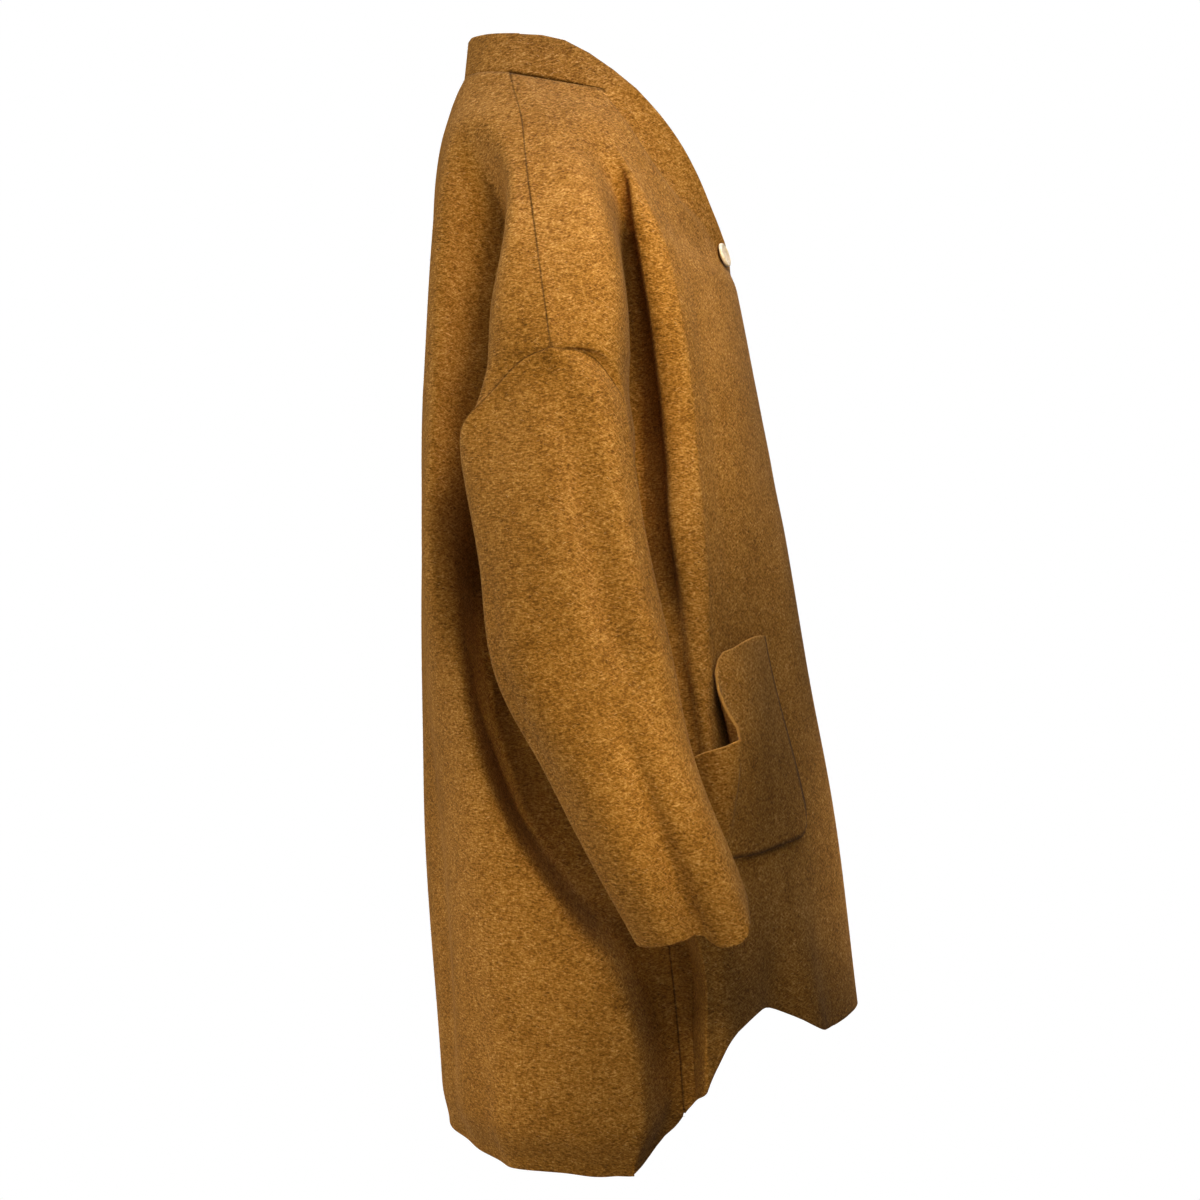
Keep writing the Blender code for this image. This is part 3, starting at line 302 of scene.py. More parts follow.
def plainFront(levels, us):
    at = readAll(frontLine, "level", levels)
    band = readAll(bandLine, "level", levels)
    below = eased(levels, bodyShape["bandLast"], bodyShape["bandNone"])
    crease, lapX = bodyShape["creaseWay"], bodyShape["lapX"]
    stations, points = [], []
    for way in bodyShape["keelWays"]:
        keelX = -lapX + (at["ridgeX"] + lapX) * way
        keelY = at["frontY"] + (at["ridgeY"] - at["frontY"]) * keel(keelX) / keel(at["ridgeX"])
        if way <= crease:
            up = way / crease
            bandX = band["edgeX"] + (band["creaseX"] - band["edgeX"]) * up
            bandY = band["edgeY"] + (band["creaseY"] - band["edgeY"]) * up
        else:
            up = (way - crease) / (1.0 - crease)
            bandX = band["creaseX"] + (at["ridgeX"] - band["creaseX"]) * up
            bandY = band["creaseY"] + (at["ridgeY"] - band["creaseY"]) * up
            bandY = bandY - bodyShape["chestBulge"] * np.sin(np.pi * up)
        x = bandX + (keelX - bandX) * below
        y = bandY + (keelY - bandY) * below
        stations.append(way * bodyShape["ridgeU"])
        points.append(pointsAt(x, y, levels))
    seam = seamPoints(levels, "front")
    points.append(pointsAt(at["valleyX"], at["valleyY"], levels))
    points += [pointsAt(at["armX"], at["armY"], besideArm(seam, levels)), seam]
    stations += [bodyShape["valleyU"], bodyShape["armU"], 1.0]
    return curveThrough(stations, np.stack(points, axis=1), us)


def plainBack(levels, us):
    at = readAll(backLine, "level", levels)
    seam = seamPoints(levels, "back")
    blade = pointsAt(at["bladeX"], at["bladeY"], levels)
    centre = pointsAt(np.zeros(len(levels)), at["centreY"], levels)
    middle = 0.5 * (blade + centre)
    middle[:, 1] = at["centreY"] - bodyShape["bladeRound"] * (at["centreY"] - at["bladeY"])
    valley = pointsAt(at["valleyX"], at["valleyY"], levels)
    arm = pointsAt(at["armX"], at["armY"], besideArm(seam, levels))
    points = (blade * flip, middle * flip, centre, middle, blade, valley, arm, seam)
    bladeU = bodyShape["bladeU"]
    outward = (bodyShape["backValleyU"], bodyShape["backArmU"], 1.0)
    stations = (-bladeU, -0.5 * bladeU, 0.0, 0.5 * bladeU, bladeU, *outward)
    return curveThrough(stations, np.stack(points, axis=1), us)


foldLook = {"fade": 0.3, "step": 0.004}  # share of a crease that fades at each end, reach of the cloth's direction


def foldLift(folds, across, along, fades, turn=None):  # soft ridges and troughs
    lift = np.zeros(len(across))
    for fromPlace, toPlace, start, end, width, depth in zip(*folds.values()):
        way = np.clip((along - start) / (end - start), 0.0, 1.0)
        apart = across - (fromPlace + (toPlace - fromPlace) * way)
        if turn:  # the shorter way round a sleeve
            apart = (apart + 0.5 * turn) % turn - 0.5 * turn
        if fades:
            strength = soften(way / foldLook["fade"]) * soften((1.0 - way) / foldLook["fade"])
        else:
            strength = soften(way)
        lift += depth * strength * np.exp(-((apart / width) ** 2))
    return lift


def folded(plain, folds, levels, us, turn):
    points = plain(levels, us)
    step = foldLook["step"]
    run = plain(levels, np.minimum(us + step, 1.0)) - plain(levels, np.maximum(us - step, 0.0))
    out = unit(np.column_stack((run[:, 1], -run[:, 0])) * turn)
    points[:, :2] += out * foldLift(folds, us, levels, False)[:, None]
    tuck = readAll(underarmTuck, "level", levels)  # the side falls in under the arm
    behind = soften((tuck["backY"] - points[:, 1]) / tuck["backWidth"])
    before = soften((points[:, 1] - tuck["frontY"]) / tuck["frontWidth"])
    points[:, 0] -= tuck["depth"] * behind * before
    return points


def waveLift(waves, across, down):  # long uneven swells, in metres of cloth
    lift = np.zeros(len(across))
    for acrossLength, downLength, phase, height in waves:
        lift += height * np.sin(2.0 * np.pi * (across / acrossLength + down / downLength) + phase)
    return lift


def withoutTwins(ring):
    return tuple(corner for spot, corner in enumerate(ring) if corner != ring[spot - 1])


class Cloth:  # one cut piece: its outer face, its lifts and its edges
    def __init__(self):
        self.points, self.lift, self.faces = [], [], []
        self.seams = []  # rows of points along sewn edges

    def add(self, points, lift=None):
        first = len(self.points)
        self.points += list(np.asarray(points, float))
        self.lift += list(np.zeros(len(points)) if lift is None else lift)
        return list(range(first, first + len(points)))

    def joinRows(self, rows, flipped=False):
        for upper, lower in zip(rows, rows[1:]):
            for ring in zip(upper, lower, lower[1:], upper[1:]):
                kept = withoutTwins(ring[:1] + ring[:0:-1] if flipped else ring)
                if len(kept) > 2:
                    self.faces.append(kept)

    def freeze(self, mirrored=False):
        self.points, self.lift = np.array(self.points), np.array(self.lift)
        if mirrored:
            self.points[:, 0] *= -1.0
            self.faces = [face[:1] + face[:0:-1] for face in self.faces]
        self.quads = np.array([(*face, face[-1])[:4] for face in self.faces])  # a triangle's last corner twice

    def faceSquares(self):
        corners = self.points[self.quads]
        return np.cross(corners[:, 2] - corners[:, 0], corners[:, 3] - corners[:, 1])

    def normals(self):
        square = self.faceSquares()
        found = np.zeros_like(self.points)
        for place in range(4):
            np.add.at(found, self.quads[:, place], square)
        return unit(found)

    def seamReach(self):  # distance from each sewn row, one line of numbers per row
        found = []
        for row in self.seams:
            nearest = np.full(len(self.points), 1.0)
            for start, end in zip(self.points[row[:-1]], self.points[row[1:]]):
                run = end - start
                share = np.clip((self.points - start) @ run / max(run @ run, 1e-12), 0.0, 1.0)
                nearest = np.minimum(nearest, np.linalg.norm(self.points - start - share[:, None] * run, axis=1))
            found.append(nearest)
        return np.array(found)

    def area(self):
        return 0.5 * np.linalg.norm(self.faceSquares(), axis=1).sum()


clothWall = {
    "thick": 0.0028,  # felted coating wool
    # seamDark is how far the painted seam shade reaches from each seam
    "seamRoll": 0.0010, "pocketRoll": 0.0003, "seamReach": 0.0015, "seamFade": 0.016, "seamDark": 0.0007,
    "rimSteps": (45.0, 90.0, 135.0), "gap": 0.00018, "gapLeast": 0.2, "mitreMost": 2.0, "pocketRimHighlight": 0.8,
}


def settle(piece, square, roll):  # lifts the cloth and rolls its sewn edges in
    away = piece.seamReach()
    shows = np.array(piece.seamShows)[:, None]
    lift = piece.lift * soften(away.min(axis=0) / clothWall["seamFade"])
    lift -= roll * (shows * np.exp(-((away / clothWall["seamReach"]) ** 2))).max(axis=0)
    piece.points = piece.points + square * lift[:, None]
    # painted shade: a dark line along each seam, standing in for the shade in its rolled-in groove
    piece.seamShade = (shows * np.exp(-((away / clothWall["seamDark"]) ** 2))).max(axis=0)


def newMesh(name, points, faces, smooth=False):
    mesh = bpy.data.meshes.new(name)
    mesh.from_pydata(points, [], faces)
    mesh.polygons.foreach_set("use_smooth", np.full(len(faces), smooth))
    mesh.update()
    return mesh


def newObject(name, data):
    made = bpy.data.objects.new(name, data)
    bpy.context.scene.collection.objects.link(made)
    return made


def closedWall(name, piece, square, mitre, rim=0.0, sewnRound=0.0):
    outer = piece.points
    count = len(outer)
    edges = {}
    for face in piece.faces:
        for place, corner in enumerate(face):
            edges[corner, face[(place + 1) % len(face)]] = True
    border = [edge for edge in edges if (edge[1], edge[0]) not in edges]
    sewn = {corner for row in piece.seams for corner in row}
    inward = np.zeros_like(outer)  # direction from an edge point into the cloth
    corners = piece.quads
    middle = outer[corners].mean(axis=1)
    for place in range(4):
        np.add.at(inward, corners[:, place], middle - outer[corners[:, place]])
    inward = unit(inward - square * (inward * square).sum(axis=1)[:, None])
    onBorder = sorted({corner for edge in border for corner in edge})
    if not sewnRound:
        for row, shows in zip(piece.seams, piece.seamShows):
            outer[row] += inward[row] * clothWall["gap"] * max(shows, clothWall["gapLeast"])
    inner = outer - square * (clothWall["thick"] * mitre)[:, None]
    rimPoints, rimIndex, rimSource = [], {}, []
    for corner in onBorder:
        centre = 0.5 * (outer[corner] + inner[corner])
        reach = 0.5 * clothWall["thick"] * mitre[corner]
        rounding = sewnRound if corner in sewn else 1.0
        rimIndex[corner] = []
        for angle in np.radians(clothWall["rimSteps"]):
            rimIndex[corner].append(2 * count + len(rimPoints))
            turned = np.cos(angle) * square[corner] - np.sin(angle) * rounding * inward[corner]
            rimPoints.append(centre + reach * turned)
            rimSource.append(corner)
    faces = list(piece.faces) + [tuple(count + corner for corner in reversed(face)) for face in piece.faces]
    for start, end in border:
        down = [start, *rimIndex[start], count + start]
        along = [end, *rimIndex[end], count + end]
        faces += [(a, c, d, b) for a, b, c, d in zip(down, along, down[1:], along[1:])]
    points = np.vstack((outer, inner, np.array(rimPoints).reshape(-1, 3)))
    source = np.concatenate((np.arange(count), np.arange(count), np.array(rimSource, int)))
    # painted highlight: the pocket's free edges are lightened in colour as if catching the light
    edgeLight = np.zeros(len(points), np.float32)
    edgeLight[2 * count:][[corner not in sewn for corner in rimSource]] = rim
    mesh = newMesh(name, points.tolist(), faces, True)
    for label, kind, domain, values in (
        ("seamShade", "FLOAT", "POINT", piece.seamShade[source].astype(np.float32)),
        ("rimLight", "FLOAT", "POINT", edgeLight),
        ("outside", "BOOLEAN", "FACE", np.arange(len(faces)) < len(piece.faces)),
    ):
        mesh.attributes.new(label, kind, domain).data.foreach_set("value", values)
    return newObject(name, mesh)


def spread(*stops):  # stations from a start to each stop, with a number of steps to each
    found = [np.array([stops[0]])]
    for steps, stop in zip(stops[1::2], stops[2::2]):
        found.append(np.linspace(found[-1][-1], stop, steps + 1)[1:])
    return np.concatenate(found)


edgeStations = (0.985, 0.9905, 0.994, 0.997, 1.0)  # close rows beside a seam
panelMesh = {
    "frontUs": np.concatenate((
        spread(0.0, 14, 0.18, 14, 0.36, 18, 0.60, 14, 0.75, 18, 0.88, 12, 0.978), edgeStations,
    )),
    "backUs": np.concatenate((spread(0.0, 22, 0.45, 12, 0.65, 16, 0.82, 16, 0.978), edgeStations)),
    "levels": spread(0.016, 22, 0.130, 14, 0.190, 14, 0.262, 40, 0.400, 50, 0.650),
    "hemSteps": np.concatenate((np.linspace(0.0, 0.94, 40)[1:], (0.965, 0.985, 1.0))),
    "neckSteps": np.linspace(0.0, 1.0, 6)[1:-1],
}


def panelLevels(us, hem):
    foot = curveThrough(hem["u"], hem["drop"], us)
    rows = [np.full(len(us), level) for level in panelMesh["levels"]]
    first = panelMesh["levels"][-1]
    rows += [first + (foot - first) * share for share in panelMesh["hemSteps"]]
    return np.array(rows)


def acrossCloth(grid):  # distance along each row from its first point
    steps = np.linalg.norm(np.diff(grid, axis=1), axis=2)
    return np.concatenate((np.zeros((len(grid), 1)), np.cumsum(steps, axis=1)), axis=1)


def neckPoints(shares):
    at = readAll(neckLine, "share", shares)
    return pointsAt(at["x"], at["y"], at["drop"])


pocketShape = {
    "fromU": 0.36, "fromFootU": 0.27, "leanLevel": 0.490, "toU": 0.95,
    "foot": 0.668, "corner": 0.026, "sag": 0.006, "belly": 0.011, "bellyReach": 0.8, "standoff": 0.0009,
    "midLevel": 0.57, "rows": 44,
}


def leaned(us, levels):  # columns lean as the pocket's front edge does
    dart, ridge, first = bodyShape["dartU"], bodyShape["ridgeU"], pocketShape["fromU"]
    way = np.clip((levels - pocketShape["leanLevel"]) / (pocketShape["foot"] - pocketShape["leanLevel"]), 0.0, 1.0)
    edge = first + (pocketShape["fromFootU"] - first) * way
    near = dart + (us - dart) * (edge - dart) / (first - dart)
    far = edge + (us - first) * (ridge - edge) / (ridge - first)
    moved = np.where(us < first, near, far)
    return np.where((us > dart) & (us < ridge), moved, us)


frontCreases = columns(
    "fromU toU fromLevel toLevel widthU depth",
    (0.605, 0.600, 0.07, 0.66, 0.018, 0.0030),
    (0.637, 0.637, 0.06, 0.51, 0.024, 0.0170),
    (0.640, 0.640, 0.33, 0.68, 0.030, 0.0070),
    (0.765, 0.765, 0.12, 0.44, 0.040, -0.0030),
)
frontWaves = {
    right: ((0.21, 0.55, 0.4, 0.0012), (0.13, -0.31, 2.1, 0.0007)),
    left: ((0.23, 0.47, 1.7, 0.0012), (0.12, -0.36, 0.3, 0.0007)),
}


def frontCloth(side):
    piece = Cloth()
    us = panelMesh["frontUs"]
    levels = panelLevels(leaned(us, np.full(len(us), pocketShape["foot"])), frontHem)
    flatLevels = levels.ravel()
    flatUs = leaned(np.tile(us, len(levels)), flatLevels)
    points = folded(plainFront, frontFolds, flatLevels, flatUs, 1.0)
    if side == left:
        near = eased(points[:, 0], lapShape["noneX"], lapShape["fullX"])
        below = eased(flatLevels, lapShape["start"], lapShape["full"])
        corner = np.exp(-(((flatLevels - lapShape["corner"]) / lapShape["cornerReach"]) ** 2))
        points[:, 1] += lapShape["depth"] * near * below * (1.0 + lapShape["cornerMore"] * corner)
    grid = points.reshape(len(levels), len(us), 3)
    lift = foldLift(frontCreases, flatUs, flatLevels, True)
    lift += waveLift(frontWaves[side], acrossCloth(grid).ravel(), flatLevels)
    rows = [piece.add(*row) for row in zip(grid, lift.reshape(levels.shape))]
    piece.joinRows(rows)

    dart = int(np.argmin(np.abs(us - bodyShape["dartU"])))  # wedge between the dart and the shoulder seam
    neck = seamPoints(0.0, "front")[0]
    top = grid[0]
    pole = piece.add([neck])[0]
    wedge = [[pole] * (len(us) - dart)]
    across = (us[dart:] - us[dart]) / (1.0 - us[dart])
    for step in panelMesh["neckSteps"]:
        row = neck + (top[dart:] - neck) * step
        row += np.outer(across, seamPoints(step * bodyShape["dartLevel"], "front")[0] - row[-1])
        wedge.append(piece.add(row))
    wedge.append(rows[0][dart:])
    piece.joinRows(wedge)

    shares = panelMesh["backUs"]  # collar, from the centre back to the dart
    low = np.vstack((neckPoints(shares), [neck + (top[dart] - neck) * step for step in panelMesh["neckSteps"]]))
    half = bodyShape["collarNeckShare"]
    collarShares = np.concatenate((shares * half, half + panelMesh["neckSteps"] * (1.0 - half)))
    at = readAll(collarEdge, "share", collarShares)
    high = pointsAt(at["x"], at["y"], at["drop"])
    down = us[: dart + 1] / bodyShape["dartU"]
    strip = [piece.add(upper + np.outer(down, lower - upper)) for lower, upper in zip(low, high)]
    strip.append(rows[0][: dart + 1])
    piece.joinRows(strip)

    neckPlace = len(shares) - 1
    piece.seams = [
        [row[-1] for row in strip[: neckPlace + 1]],
        [row[-1] for row in strip[neckPlace:]],
        [row[0] for row in wedge],
        [row[-1] for row in wedge] + [row[-1] for row in rows[1:]],
        list(strip[0]),
    ]
    piece.seamShows = (0.06, 1.0, 1.0, 0.6, 0.06)  # nape, dart, dart, shoulder to hem, centre of the collar
    piece.rows, piece.levels = np.array(rows), levels
    piece.freeze(mirrored=side == right)
    return piece


backCreases = columns(
    "fromU toU fromLevel toLevel widthU depth",
    (0.72, 0.74, 0.22, 0.56, 0.075, -0.0220),
    (-0.72, -0.74, 0.22, 0.56, 0.075, -0.0220),
    (0.30, 0.24, 0.52, 0.92, 0.060, -0.0030),
    (-0.25, -0.32, 0.48, 0.93, 0.060, -0.0030),
    (0.02, 0.06, 0.30, 0.90, 0.090, 0.0020),
)
backWaves = ((0.27, 0.60, 0.9, 0.0014), (0.15, -0.35, 2.6, 0.0008))
backCurl = {"reach": 0.042, "depth": 0.012, "power": 1.3, "centre": 0.35, "fullU": 0.5}  # the hem turns under


def backCloth():
    piece = Cloth()
    us = panelMesh["backUs"]
    levels = panelLevels(us, backHem)
    half = folded(plainBack, backFolds, levels.ravel(), np.tile(us, len(levels)), -1.0)
    half = half.reshape(len(levels), len(us), 3)
    nape = neckPoints(us)
    neckRows = [nape]
    for step in panelMesh["neckSteps"]:
        row = nape + (half[0] - nape) * step
        row += np.outer(us, seamPoints(step * bodyShape["dartLevel"], "back")[0] - row[-1])
        neckRows.append(row)
    tops = np.concatenate(([0.0], panelMesh["neckSteps"])) * bodyShape["dartLevel"]
    allLevels = np.vstack((np.repeat(tops[:, None], len(us), axis=1), levels))
    halves = np.array(neckRows + list(half))
    across = acrossCloth(halves).ravel()
    overHem = allLevels[-1] - allLevels
    turned = backCurl["centre"] + (1.0 - backCurl["centre"]) * soften(us / backCurl["fullU"])
    curl = -backCurl["depth"] * soften(1.0 - overHem / backCurl["reach"]) ** backCurl["power"] * turned
    wide = np.tile(us, len(allLevels))
    lifts = {}
    for way in (right, left):
        lift = foldLift(backCreases, way * wide, allLevels.ravel(), True)
        lift += waveLift(backWaves, way * across, allLevels.ravel())
        lifts[way] = lift.reshape(allLevels.shape) + curl
    rows = []
    for row, rightLift, leftLift in zip(halves, lifts[right], lifts[left]):
        rows.append(piece.add(np.vstack((row[:0:-1] * flip, row)), np.concatenate((rightLift[:0:-1], leftLift))))
    piece.joinRows(rows, True)
    piece.seams = [list(rows[0]), [row[0] for row in rows], [row[-1] for row in rows]]
    piece.seamShows = (0.06, 0.6, 0.6)  # nape, right side, left side
    piece.freeze()
    return piece


sleeveShape = {
    "top": 0.335, "end": 0.720, "ringStep": 0.004, "capFade": 0.42, "cuffFrom": 0.70,
    "around": 0.36, "long": 0.42,  # rough size, for the swells
    "shares": np.concatenate((
        (0.0, 0.0015, 0.003, 0.006, 0.010, 0.015), spread(0.025, 66, 0.985), (0.993, 1.0),
    )),
}
sleeveCreases = columns(
    "fromAngle toAngle fromShare toShare widthAngle depth",
    (8.0, 30.0, -0.15, 0.62, 12.0, -0.0080),
    (17.0, -1.0, 0.48, 1.14, 7.0, -0.0050),
    (37.0, 55.0, -0.10, 0.66, 13.0, 0.0050),
    (150.0, 170.0, 0.10, 0.80, 18.0, -0.0030),
    (-40.0, -30.0, 0.25, 0.95, 16.0, 0.0025),
    (-62.0, -70.0, 0.15, 0.75, 12.0, -0.0025),
)
sleeveWaves = {
    right: ((0.19, 0.23, 0.2, 0.0012), (0.12, -0.15, 1.3, 0.0007)),
    left: ((0.17, 0.27, 1.9, 0.0012), (0.11, -0.17, 0.6, 0.0007)),
}


def sleeveRing(share):
    top, end, step = sleeveShape["top"], sleeveShape["end"], sleeveShape["ringStep"]
    drop = top + (end - top) * share
    drops = [drop - step, drop, drop + step]
    near = readAll(sleeveRings, "drop", drops)
    drops = np.clip(drops, top, end)
    centres = pointsAt(near["x"], near["y"], drops)
    axis = unit(centres[2] - centres[0])
    out = unit(np.array((1.0, 0.0, 0.0)) - axis * axis[0])
    return centres[1], out, np.cross(axis, out), near["deep"][1], near["wide"][1]


def sleevePoints(ring, seamAngles, evenAngles, seamOffsets, share):
    centre, out, forward, deep, wide = ring
    way = soften(share / sleeveShape["capFade"])
    angles = seamAngles + (evenAngles - seamAngles) * way
    degrees = np.degrees(angles)
    lift = foldLift(sleeveFolds, degrees, share, False, 360.0)
    crease = foldLift(sleeveCreases, degrees, share, True, 360.0)
    across = np.outer((wide + lift) * np.cos(angles), out)
    points = centre + across + np.outer((deep + lift) * np.sin(angles), forward)
    return points + seamOffsets * (1.0 - way), crease, angles


def sleeveCloth(side):
    piece = Cloth()
    capLevel, underarm = bodyShape["capLevel"], bodyShape["underarmLevel"]
    levels = panelMesh["levels"]
    levels = levels[(levels > capLevel - tiny) & (levels < underarm + tiny)]
    front = seamPoints(levels, "front")
    front[0] = seamPoints(capLevel, "front")[0]
    back = seamPoints(levels[1:-1], "back")[::-1]
    seam = np.vstack((front, back))
    ring = sleeveRing(0.0)
    centre, out, forward, deep, wide = ring
    angles = np.arctan2((seam - centre) @ forward / deep, (seam - centre) @ out / wide)
    angles = np.where(angles < angles[0] - tiny, angles + 2.0 * np.pi, angles)
    even = np.concatenate((
        np.linspace(angles[0], np.pi, len(front)),
        np.linspace(np.pi, 2.0 * np.pi + angles[0], len(back) + 2)[1:-1],
    ))
    bare = sleevePoints(ring, angles, even, np.zeros((len(seam), 3)), 0.0)[0]
    around = np.arange(len(seam)) / len(seam) * sleeveShape["around"]
    rows = []
    for share in sleeveShape["shares"]:
        ring = sleeveRing(share)
        points, lift, turned = sleevePoints(ring, angles, even, seam - bare, share)
        lift = lift + waveLift(sleeveWaves[side], around, np.full(len(seam), share * sleeveShape["long"]))
        degrees = (np.degrees(turned) + 180.0) % 360.0 - 180.0
        past = curveThrough(cuffEdge["angle"], cuffEdge["past"], degrees)
        past = past * eased(share, sleeveShape["cuffFrom"], 1.0)
        row = piece.add(points + np.outer(past, np.cross(*ring[1:3])), lift)
        rows.append(row + row[:1])
    piece.joinRows(rows, True)
    piece.seams = [rows[0]]
    piece.seamShows = (0.8,)
    piece.freeze(mirrored=side == right)
    return piece


def shareSeams(pieces):  # points that meet at a seam take one direction
    meeting = {}
    for name, piece in pieces.items():
        for vertex in {corner for row in piece.seams for corner in row}:
            meeting.setdefault(tuple(piece.points[vertex].round(5)), []).append((name, vertex))
    return [users for users in meeting.values() if len(users) > 1]


def seamNormals(pieces, meeting):
    squares = {name: piece.normals() for name, piece in pieces.items()}
    mitres = {name: np.ones(len(piece.points)) for name, piece in pieces.items()}
    for users in meeting:
        own = np.array([squares[name][vertex] for name, vertex in users])
        mean = unit(own.sum(axis=0))
        for name, vertex in users:
            squares[name][vertex] = mean
            mitres[name][vertex] = 1.0 / max(float((own @ mean).mean()), 1.0 / clothWall["mitreMost"])
    return squares, mitres


mouthWear = {"steps": 401, "reach": 24, "bell": 7.0}


def roundedOff(table, key, at):  # as readAll, with the corners worn round
    reach = mouthWear["reach"]
    fine = np.linspace(0.0, 1.0, mouthWear["steps"])
    bell = np.exp(-((np.arange(-reach, reach + 1) / mouthWear["bell"]) ** 2))
    found = {}
    for name, line in readAll(table, key, fine).items():
        held = np.concatenate((2.0 * line[0] - line[reach:0:-1], line, 2.0 * line[-1] - line[-2:-reach - 2:-1]))
        found[name] = np.interp(at, fine, np.convolve(held, bell / bell.sum(), mode="valid"))
    return found


def pocketCloth(front, side):
    us = panelMesh["frontUs"]
    covered = (us >= pocketShape["fromU"] - tiny) & (us <= pocketShape["toU"] + tiny)
    places = list(np.flatnonzero(covered))
    square = front.normals()
    middle = int(np.argmin(np.abs(front.levels[:, 0] - pocketShape["midLevel"])))
    arc = acrossCloth(front.points[front.rows[middle, places]][None])[0]
    shares = arc / arc[-1]
    mouth = roundedOff(pocketMouth, "share", shares)
    inset = np.minimum(arc, arc[-1] - arc)
    short = np.clip(1.0 - inset / pocketShape["corner"], 0.0, 1.0)
    foot = pocketShape["foot"] - pocketShape["corner"] * (1.0 - np.sqrt(1.0 - short * short))
    foot += pocketShape["sag"] * np.sin(np.pi * shares) * soften(shares * 2.0)
    piece = Cloth()
    ups = 1.0 - np.linspace(0.0, 1.0, pocketShape["rows"] + 1)
    grid = np.zeros((len(ups), len(places), 3))
    for spot, place in enumerate(places):
        levels = foot[spot] + (mouth["drop"][spot] - foot[spot]) * ups
        index, reach = front.rows[:, place], front.levels[:, place]
        base = np.column_stack([np.interp(levels, reach, front.points[index, axis]) for axis in range(3)])
        away = unit(np.column_stack([np.interp(levels, reach, square[index, axis]) for axis in range(3)]))
        rounded = np.sin(np.pi * shares[spot]) * np.sin(np.pi * ups * pocketShape["bellyReach"])
        belly = pocketShape["belly"] * rounded
        lift = pocketShape["standoff"] + clothWall["thick"] + belly + mouth["gape"][spot] * ups ** 2
        grid[:, spot] = base + away * lift[:, None]
        grid[:, spot, 1] -= mouth["drawn"][spot] * ups ** 2
    rows = [piece.add(row) for row in grid]
    piece.joinRows(rows, side == right)
    piece.seams = [[row[0] for row in rows], list(rows[-1]), [row[-1] for row in rows]]
    piece.seamShows = (1.0, 0.8, 0.6)  # front edge, foot, back edge
    piece.freeze()
    return piece


def newGroup(name, kind, inputs, outputs):  # an input may bring its first value
    group = bpy.data.node_groups.new(name, kind)
    for way, sockets in (("INPUT", inputs), ("OUTPUT", outputs)):
        for label, sort, *value in sockets:
            socket = group.interface.new_socket(name=label, in_out=way, socket_type="NodeSocket" + sort)
            if value:
                socket.default_value = value[0]
    return group, group.nodes.new("NodeGroupInput"), group.nodes.new("NodeGroupOutput")


def addNode(tree, kind, settings=None, **sockets):
    node = tree.nodes.new(kind)
    for key, value in (settings or {}).items():
        setattr(node, key, value)
    for key, value in sockets.items():
        numbered = key[0] == "i" and key[1:].isdigit()
        plug = node.inputs[int(key[1:]) if numbered else key.replace("_", " ")]
        if isinstance(value, bpy.types.NodeSocket):
            tree.links.new(value, plug)
        else:
            plug.default_value = value
    return node


def colourRamp(tree, factor, stops):
    ramp = addNode(tree, "ShaderNodeValToRGB", i0=factor)
    while len(ramp.color_ramp.elements) < len(stops):
        ramp.color_ramp.elements.new(0.5)
    for element, (place, colour) in zip(ramp.color_ramp.elements, stops):
        element.position = place
        element.color = (*colour, 1.0)
    return ramp.outputs["Color"]


def mixColours(tree, blend, share, first, second):
    settings = {"data_type": "RGBA", "blend_type": blend}
    return addNode(tree, "ShaderNodeMix", settings, i0=share, i6=first, i7=(*second, 1.0)).outputs[2]


woolLook = {
    "dark": (0.115, 0.047, 0.005), "low": (0.212, 0.095, 0.012), "mid": (0.310, 0.146, 0.023),
    "light": (0.420, 0.216, 0.047), "pale": (0.580, 0.345, 0.112),
    "stops": {"dark": 0.44, "low": 0.53, "mid": 0.60, "light": 0.67, "pale": 0.77},
    "blob": 520.0, "streakAcross": 190.0, "streakDown": 860.0, "streakTurns": (18.0, -22.0),
    "streakApart": (0.37, 0.21, 0.11), "patch": 46.0, "drift": 9.0,
    "shares": (0.38, 0.56, 0.10, 0.10),  # of blobs, streaks, patches and drift
    "seamShadeTint": (0.22, 0.18, 0.14), "bump": 0.8, "bumpDepth": 0.0008,
    "finish": {
        "Roughness": 0.85, "Specular IOR Level": 0.30, "Specular Tint": (1.0, 0.66, 0.30, 1.0),
        "Sheen Weight": 0.04, "Sheen Roughness": 0.5, "Sheen Tint": (0.85, 0.62, 0.36, 1.0),
    },
}


def noiseAt(tree, spot, scale, detail, roughness):
    noise = addNode(tree, "ShaderNodeTexNoise", Vector=spot, Scale=scale, Detail=detail, Roughness=roughness)
    return noise.outputs[0]


